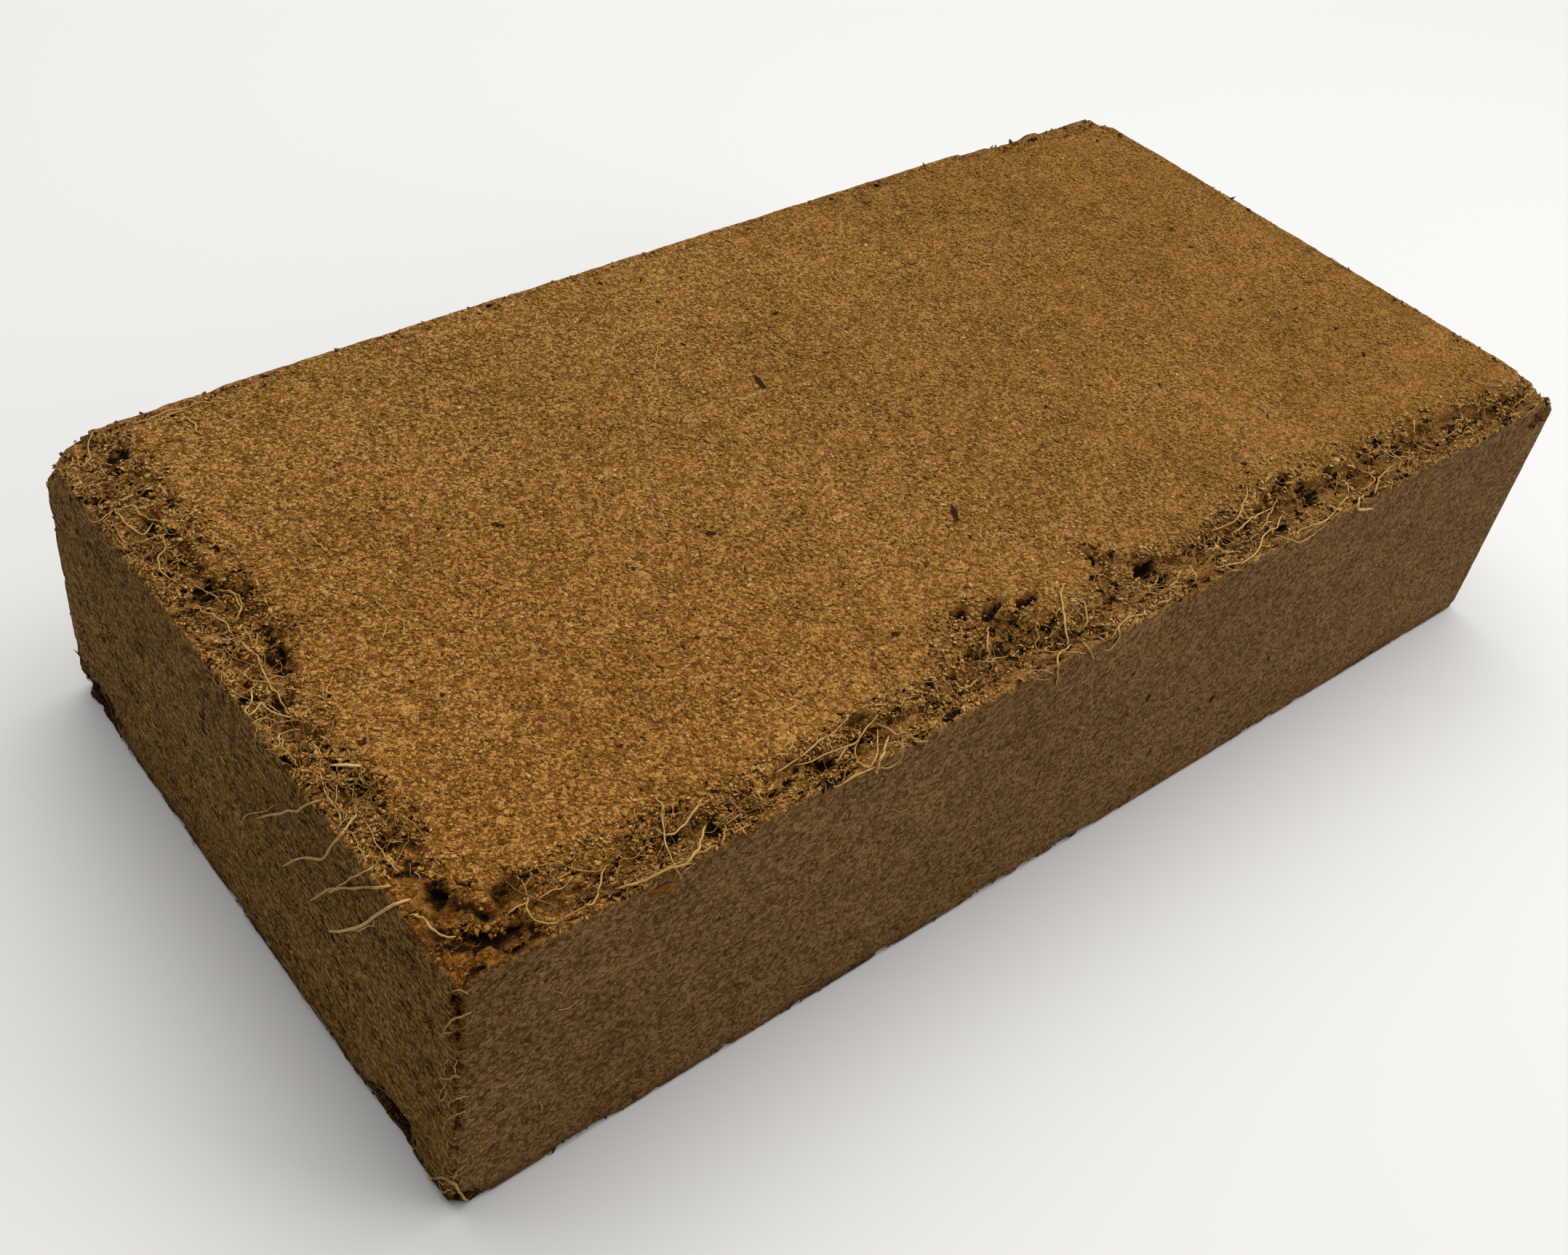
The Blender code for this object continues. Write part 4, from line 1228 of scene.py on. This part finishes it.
def with_results(tree, end, **results):
    """The group, with its results linked to its outputs."""
    for name, value in results.items():
        tree.links.new(value, end.inputs[name])
    return tree


def node(tree, kind, sockets=None, **settings):
    """A new node with its settings, and its sockets set to values or linked to other nodes' sockets."""
    made = tree.nodes.new("ShaderNode" + kind)
    for key, value in settings.items():
        setattr(made, key, value)
    for key, value in (sockets or {}).items():
        if isinstance(value, bpy.types.NodeSocket):
            tree.links.new(value, made.inputs[key])
        else:
            made.inputs[key].default_value = value
    return made


def maths(tree, operation, *values):
    """A Math node's result."""
    return node(tree, "Math", dict(enumerate(values)), operation=operation).outputs[0]


def summed(tree, base, *parts):
    """The base plus each part's value times its weight."""
    for value, weight in parts:
        base = maths(tree, "MULTIPLY_ADD", value, weight, base)
    return base


def centred(tree, value):
    """A value around one half, moved to lie around 0."""
    return maths(tree, "SUBTRACT", value, 0.5)


def noise(tree, place, per_metre, detail, roughness=0.5):
    """Noise around one half, with that many lumps to a metre."""
    sockets = {"Vector": place, "Scale": per_metre, "Detail": detail, "Roughness": roughness}
    return node(tree, "TexNoise", sockets).outputs[0]


def stretched(tree, place, scale, turn=0.0):
    """The place turned about the upright axis and scaled along each axis."""
    return node(tree, "Mapping", {"Vector": place, "Rotation": (0.0, 0.0, turn), "Scale": scale}).outputs[0]


def eased_share(tree, value, none, full):
    """0 at the value none and 1 at the value full, eased between them."""
    sockets = {0: value, 1: none, 2: full}
    return node(tree, "MapRange", sockets, interpolation_type="SMOOTHSTEP").outputs[0]


def blend(tree, share, first, second, kind="MIX"):
    """Two colours mixed by a share."""
    made = node(tree, "Mix", data_type="RGBA", blend_type=kind)
    for socket, value in zip((made.inputs[0], made.inputs[6], made.inputs[7]), (share, first, second)):
        if isinstance(value, bpy.types.NodeSocket):
            tree.links.new(value, socket)
        else:
            socket.default_value = value
    return made.outputs[2]


def ramp(tree, value, stops):
    """A colour ramp with stops of place and colour."""
    made = node(tree, "ValToRGB", {0: value})
    elements = made.color_ramp.elements
    while len(elements) < len(stops):
        elements.new(0.5)
    for element, (place, colour) in zip(elements, stops):
        element.position = place
        element.color = (*colour, 1.0)
    return made.outputs[0]


def pith_grain_group():
    """Pressed pith: cells of uneven size, each with its own tone, with finer cells inside.

    The place is first bent by noise. A cell's relief falls with the distance from its middle, and
    the tone sums the relief and both cells' own random tones.
    """
    tree, given, end = new_group("pith_grain", ("Tone", "Relief"), [("Grains per Metre", 1200.0)])
    place, scale = given["Position"], given["Grains per Metre"]
    warp = node(tree, "TexNoise", {"Vector": place, "Scale": 700.0, "Detail": 2.0}).outputs["Color"]
    shift = node(tree, "VectorMath", {0: warp, 1: (0.5, 0.5, 0.5)}, operation="SUBTRACT").outputs[0]
    shift = node(tree, "VectorMath", {0: shift, "Scale": 0.0011}, operation="SCALE").outputs[0]
    bent = node(tree, "VectorMath", {0: place, 1: shift}, operation="ADD").outputs[0]
    tones, bumps = [], []
    for cells in (scale, maths(tree, "MULTIPLY", scale, 2.3)):
        cell = node(tree, "TexVoronoi", {"Vector": bent, "Scale": cells, "Randomness": 1.0}).outputs
        tones.append(node(tree, "SeparateColor", {0: cell["Color"]}).outputs[0])
        bumps.append(maths(tree, "SUBTRACT", 1.0, cell["Distance"]))
    relief = summed(tree, 0.0, (bumps[1], 0.40), (bumps[0], 0.60))
    tone = summed(tree, -0.12, (relief, 0.50), (tones[1], 0.32), (tones[0], 0.48))
    return with_results(tree, end, Tone=tone, Relief=relief)


def level_streaks_group():
    """Fine level layers of the pressed sides: noise that is long sideways and short upwards.

    The cracks are the high parts of a flatter noise, and lie lower.
    """
    outputs = ("Tone", "Relief", "Cracks")
    tree, given, end = new_group("level_streaks", outputs, [("Streaks per Metre", 420.0)])
    place, scale = given["Position"], given["Streaks per Metre"]
    flat = stretched(tree, place, (1.0, 1.0, 2.0))
    long = noise(tree, flat, scale, 3.0, 0.62)
    fine = noise(tree, flat, maths(tree, "MULTIPLY", scale, 3.2), 3.0, 0.7)
    tone = summed(tree, 0.0, (fine, 0.5), (long, 0.5))
    flatter = stretched(tree, place, (1.0, 1.0, 4.5))
    crack = noise(tree, flatter, maths(tree, "MULTIPLY", scale, 0.65), 2.0)
    cracks = eased_share(tree, crack, 0.60, 0.68)
    return with_results(tree, end, Tone=tone, Relief=summed(tree, tone, (cracks, -0.8)), Cracks=cracks)


def slot_shade_group():
    """Dark slots between clumps of loose pith: noise drawn out level across the picture, cut high."""
    # Painted shade: where the share is 1 the colour turns near black, as the shade in the gaps between
    # clumps.
    tree, given, end = new_group("painted_slot_shade", ("Share",), [("Slots per Metre", 640.0)])
    drawn_out = stretched(tree, given["Position"], (0.55, 1.0, 1.0), math.radians(38))
    slots = noise(tree, drawn_out, given["Slots per Metre"], 3.0, 0.65)
    return with_results(tree, end, Share=eased_share(tree, slots, 0.54, 0.60))


def near_corner_group():
    """Two shares that are 1 at the near top corner: one eases to 0 in 20 mm and the other in 120 mm."""
    tree, given, end = new_group("near_corner", ("Share", "Warmth"))
    corner = (-LENGTH / 2, -WIDTH / 2, HEIGHT)
    away = node(tree, "VectorMath", {0: given["Position"], 1: corner}, operation="DISTANCE")
    away = away.outputs["Value"]
    # The first share places painted shade at the near top corner; the second a golden tint farther out.
    share, warmth = eased_share(tree, away, 0.020, 0.003), eased_share(tree, away, 0.120, 0.020)
    return with_results(tree, end, Share=share, Warmth=warmth)


def blotches_group():
    """Slow changes of tone over several centimetres, around one half: two sizes of noise."""
    tree, given, end = new_group("slow_blotches", ("Tone",))
    wide, close = noise(tree, given[0], 38.0, 2.0), noise(tree, given[0], 170.0, 3.0)
    return with_results(tree, end, Tone=summed(tree, 0.0, (close, 0.5), (wide, 0.5)))


GROUPS = {
    "grain": pith_grain_group(),
    "streaks": level_streaks_group(),
    "slots": slot_shade_group(),
    "corner": near_corner_group(),
    "blotches": blotches_group(),
}


# Pith colours from a dark gap to a pale grain: on the top, on the smooth sides and on the flaky end.
# The side and end colours are greyer, and darker than the top partly as painted shade.
TOP_COLOURS = (
    (0.00, (0.062, 0.025, 0.0046)),
    (0.28, (0.120, 0.052, 0.0101)),
    (0.50, (0.185, 0.085, 0.0175)),
    (0.72, (0.280, 0.138, 0.0340)),
    (1.00, (0.470, 0.277, 0.0994)),
)
SHADED_SIDE_COLOURS = (
    (0.05, (0.032, 0.014, 0.0033)),
    (0.32, (0.081, 0.040, 0.0100)),
    (0.50, (0.117, 0.060, 0.0174)),
    (0.68, (0.162, 0.086, 0.0282)),
    (0.95, (0.279, 0.167, 0.0664)),
)
SHADED_END_COLOURS = (
    (0.12, (0.020, 0.008, 0.0012)),
    (0.35, (0.090, 0.043, 0.0064)),
    (0.50, (0.136, 0.069, 0.0120)),
    (0.68, (0.204, 0.108, 0.0214)),
    (0.95, (0.368, 0.214, 0.0540)),
)
# Near-black painted shade, laid into the cracks, the dark slots, the holes, the deep crumbled places, the
# clump gaps and the foot.
PAINTED_SHADE_COLOUR = (0.010, 0.004, 0.001, 1.0)
FIBRE_COLOURS = (
    (0.00, (0.085, 0.040, 0.009)),
    (0.35, (0.175, 0.090, 0.024)),
    (0.70, (0.340, 0.198, 0.062)),
    (1.00, (0.540, 0.370, 0.155)),
)
BARK_COLOURS = ((0.3, (0.012, 0.006, 0.002)), (0.7, (0.038, 0.020, 0.008)))
HUSK_COLOURS = ((0.38, (0.06, 0.026, 0.006)), (0.62, (0.21, 0.095, 0.021)))
# What the colours are multiplied by near the near top corner, and at it: the second is painted
# shade, darker and redder.
GOLDEN = (1.03, 0.96, 0.78, 1.0)
SHADED_RED = (0.60, 0.51, 0.31, 1.0)
# How strongly the slow blotches change the tone.
BLOTCHED = 0.45


def new_material(name, roughness, gloss=0.06):
    """A material with its Principled BSDF, and the place on the piece."""
    material = bpy.data.materials.new(name)
    material.use_nodes = True
    tree = material.node_tree
    finish = tree.nodes["Principled BSDF"]
    finish.inputs["Roughness"].default_value = roughness
    finish.inputs["Specular IOR Level"].default_value = gloss
    return material, tree, finish, node(tree, "TexCoord").outputs["Object"]


def dress(tree, finish, colour, relief, strength, height):
    """Put a colour on the finish, and a relief as bumps up to that height."""
    tree.links.new(colour, finish.inputs["Base Color"])
    bump = node(tree, "Bump", {"Strength": strength, "Distance": height, "Height": relief})
    tree.links.new(bump.outputs[0], finish.inputs["Normal"])


def placed_group(tree, name, place, per_metre=None):
    """The results of one of the shared groups in a material, with its own number per metre."""
    sockets = {0: place} if per_metre is None else {0: place, 1: per_metre}
    return node(tree, "Group", sockets, node_tree=GROUPS[name]).outputs


def warmer_and_shaded_near_corner(tree, place, colour):
    """The colour turned more golden towards the near top corner, and darker and redder at it."""
    corner = placed_group(tree, "corner", place)
    golden = blend(tree, 1.0, colour, GOLDEN, "MULTIPLY")
    colour = blend(tree, corner["Warmth"], colour, golden)
    # Painted shade at the near top corner: darker and redder.
    corner_shade = blend(tree, 1.0, colour, SHADED_RED, "MULTIPLY")
    return blend(tree, corner["Share"], colour, corner_shade)


def attribute(tree, name):
    """A number that the mesh carries on its points."""
    return node(tree, "Attribute", attribute_name=name).outputs["Fac"]


def painted_gap_shade(tree, place):
    """The dark slots, where the mesh is of crumbled pith."""
    # Painted shade of the dark slots between clumps.
    return maths(tree, "MULTIPLY", placed_group(tree, "slots", place)[0], attribute(tree, "gap"))


def block_material():
    """The block: grainy and warm on top and where it crumbled, finer on the sides, flaky on one end.

    The top's contrast falls along the length, from the near end to the far one. Painted shade darkens
    the cracks, the dark slots, the holes, the foot and the near top corner, and partly the sides.
    """
    material, tree, finish, place = new_material("pressed_pith", 0.92)
    grain = placed_group(tree, "grain", place, 2100.0)
    streaks = placed_group(tree, "streaks", place, 760.0)
    blotches = centred(tree, placed_group(tree, "blotches", place)[0])
    middling = summed(tree, 0.5, (blotches, BLOTCHED))
    grainy, streaky = centred(tree, grain["Tone"]), centred(tree, streaks["Tone"])
    x = node(tree, "SeparateXYZ", {0: place}).outputs[0]
    contrast = node(tree, "MapRange", {0: x, 1: -LENGTH / 2, 2: LENGTH / 2, 3: 1.50, 4: 0.85}).outputs[0]
    top_tone = summed(tree, maths(tree, "SUBTRACT", middling, 0.03), (grainy, contrast))
    side_tone = summed(tree, middling, (grainy, 1.20), (streaky, 0.30))
    end_tone = summed(tree, middling, (grainy, 0.95), (streaky, 2.2))
    flaky, granular = attribute(tree, "flaky"), attribute(tree, "granular")
    # The top colours take painted shade at the near top corner. The side and end colours are greyer and
    # partly painted shade.
    top = warmer_and_shaded_near_corner(tree, place, ramp(tree, top_tone, TOP_COLOURS))
    side = ramp(tree, side_tone, SHADED_SIDE_COLOURS)
    side = blend(tree, flaky, side, ramp(tree, end_tone, SHADED_END_COLOURS))
    # Painted shade in the cracks, strongest on the flaky end.
    cracked = maths(tree, "MULTIPLY", summed(tree, 0.15, (flaky, 0.75)), streaks["Cracks"])
    # Painted shade in holes, deep crumbled places, clump gaps and along the foot, its edge made ragged by
    # the grain.
    ragged = summed(tree, attribute(tree, "hollow"), (grainy, 1.1))
    hollow = node(tree, "MapRange", {0: ragged, 1: 0.30, 2: 0.62}).outputs[0]
    colour = blend(tree, granular, blend(tree, cracked, side, PAINTED_SHADE_COLOUR), top)
    # Painted shade: first the dark slots between clumps, then the holes, deep places, clump gaps and foot.
    colour = blend(tree, painted_gap_shade(tree, place), colour, PAINTED_SHADE_COLOUR)
    colour = blend(tree, hollow, colour, PAINTED_SHADE_COLOUR)
    rough = node(tree, "MapRange", {0: top_tone, 3: 0.98, 4: 0.82})
    tree.links.new(rough.outputs[0], finish.inputs["Roughness"])
    side_relief = summed(tree, 0.0, (grain["Relief"], 0.7), (streaks["Relief"], 0.4))
    relief = node(tree, "Mix", {0: granular, 2: side_relief, 3: grain["Relief"]}).outputs[0]
    dress(tree, finish, colour, relief, 0.9, 0.00024)
    return material


def grain_material(name, colours):
    """Chips and crumbs: each has its own tint, broken up by finer pith."""
    material, tree, finish, place = new_material(name, 0.88)
    grain = placed_group(tree, "grain", place, 3200.0)
    blotches = centred(tree, placed_group(tree, "blotches", place)[0])
    fleck = centred(tree, grain["Tone"])
    tone = summed(tree, attribute(tree, "tint"), (fleck, 0.50), (blotches, BLOTCHED))
    # Golden towards the near top corner, with painted shade at it.
    colour = warmer_and_shaded_near_corner(tree, place, ramp(tree, tone, colours))
    # Painted shade of the dark slots between clumps.
    colour = blend(tree, painted_gap_shade(tree, place), colour, PAINTED_SHADE_COLOUR)
    dress(tree, finish, colour, grain["Relief"], 0.8, 0.00012)
    return material


def fibre_material():
    """Coir fibre: straw to brown by strand, mottled along its length, with a slight gloss."""
    material, tree, finish, place = new_material("coir_fibre", 0.62)
    mottle = noise(tree, place, 900.0, 3.0)
    tone = summed(tree, attribute(tree, "tint"), (centred(tree, mottle), 0.55))
    dress(tree, finish, ramp(tree, tone, FIBRE_COLOURS), mottle, 0.5, 0.00008)
    return material


def fleck_material(name, colours, roughness):
    """Bark or husk: two close tones in long grain."""
    material, tree, finish, place = new_material(name, roughness, 0.0)
    streaks = placed_group(tree, "streaks", place, 900.0)
    dress(tree, finish, ramp(tree, streaks["Tone"], colours), streaks["Relief"], 0.6, 0.0001)
    return material


def studio():
    """A pale floor, a large soft light overhead and behind, and an even pale surround."""
    bpy.ops.mesh.primitive_plane_add(size=4.0, location=(0, 0, 0))
    floor = bpy.context.object
    floor.name = "floor"
    material = bpy.data.materials.new("pale_floor")
    material.use_nodes = True
    finish = material.node_tree.nodes["Principled BSDF"]
    finish.inputs["Base Color"].default_value = (0.60, 0.60, 0.60, 1)
    finish.inputs["Roughness"].default_value = 0.9
    finish.inputs["Specular IOR Level"].default_value = 0.1
    floor.data.materials.append(material)

    soft_lamp("overhead", (0.14, 0.10, 0.85), (1.2, 1.0), 13.0)
    soft_lamp("front_right", (0.36, -0.46, 0.26), (0.3, 0.3), 1.2)

    world = bpy.data.worlds.new("surround")
    bpy.context.scene.world = world
    world.use_nodes = True
    sky = world.node_tree.nodes["Background"]
    sky.inputs["Color"].default_value = (1.0, 1.0, 1.0, 1)
    sky.inputs["Strength"].default_value = 0.30
    bpy.context.scene.view_settings.view_transform = "Standard"


def soft_lamp(name, place, size, watts):
    """A flat soft lamp at that place, turned to the middle of the bale."""
    data = bpy.data.lights.new(name, "AREA")
    data.shape = "RECTANGLE"
    data.size, data.size_y = size
    data.energy = watts
    data.color = (1.0, 0.985, 0.96)
    lamp = bpy.data.objects.new(name, data)
    lamp.location = place
    aim = Vector((0.0, 0.0, 0.03)) - lamp.location
    lamp.rotation_euler = aim.to_track_quat("-Z", "Y").to_euler()
    bpy.context.scene.collection.objects.link(lamp)


def photo_camera():
    """The camera at the photograph's place and angle."""
    data = bpy.data.cameras.new("photo_camera")
    data.lens = CAMERA_LENS
    data.sensor_width = SENSOR
    data.shift_x = CAMERA_SHIFT
    data.clip_start = 0.01
    data.clip_end = 10.0
    camera = bpy.data.objects.new("photo_camera", data)
    camera.location = CAMERA_PLACE
    camera.rotation_euler = [math.radians(angle) for angle in CAMERA_TURN]
    bpy.context.scene.collection.objects.link(camera)
    bpy.context.scene.camera = camera


photo_camera()
studio()
LOOSE_PITH = grain_material("loose_pith", TOP_COLOURS)
SIDE_PITH = grain_material("side_pith", SHADED_SIDE_COLOURS)
FIBRE = fibre_material()
pressed_block(block_material())
top_grains("top_grains_left", -LENGTH / 2, 0.0, 23500, 11, LOOSE_PITH)
top_grains("top_grains_right", 0.0, LENGTH / 2, 23500, 12, LOOSE_PITH)
edge_crumbs(LOOSE_PITH)
side_chips(SIDE_PITH)
edge_fibres(FIBRE)
loose_strands(FIBRE)
surface_hairs(FIBRE)
bark_flecks(fleck_material("dark_bark", BARK_COLOURS, 0.8))
husk_shards(fleck_material("orange_husk", HUSK_COLOURS, 0.6))
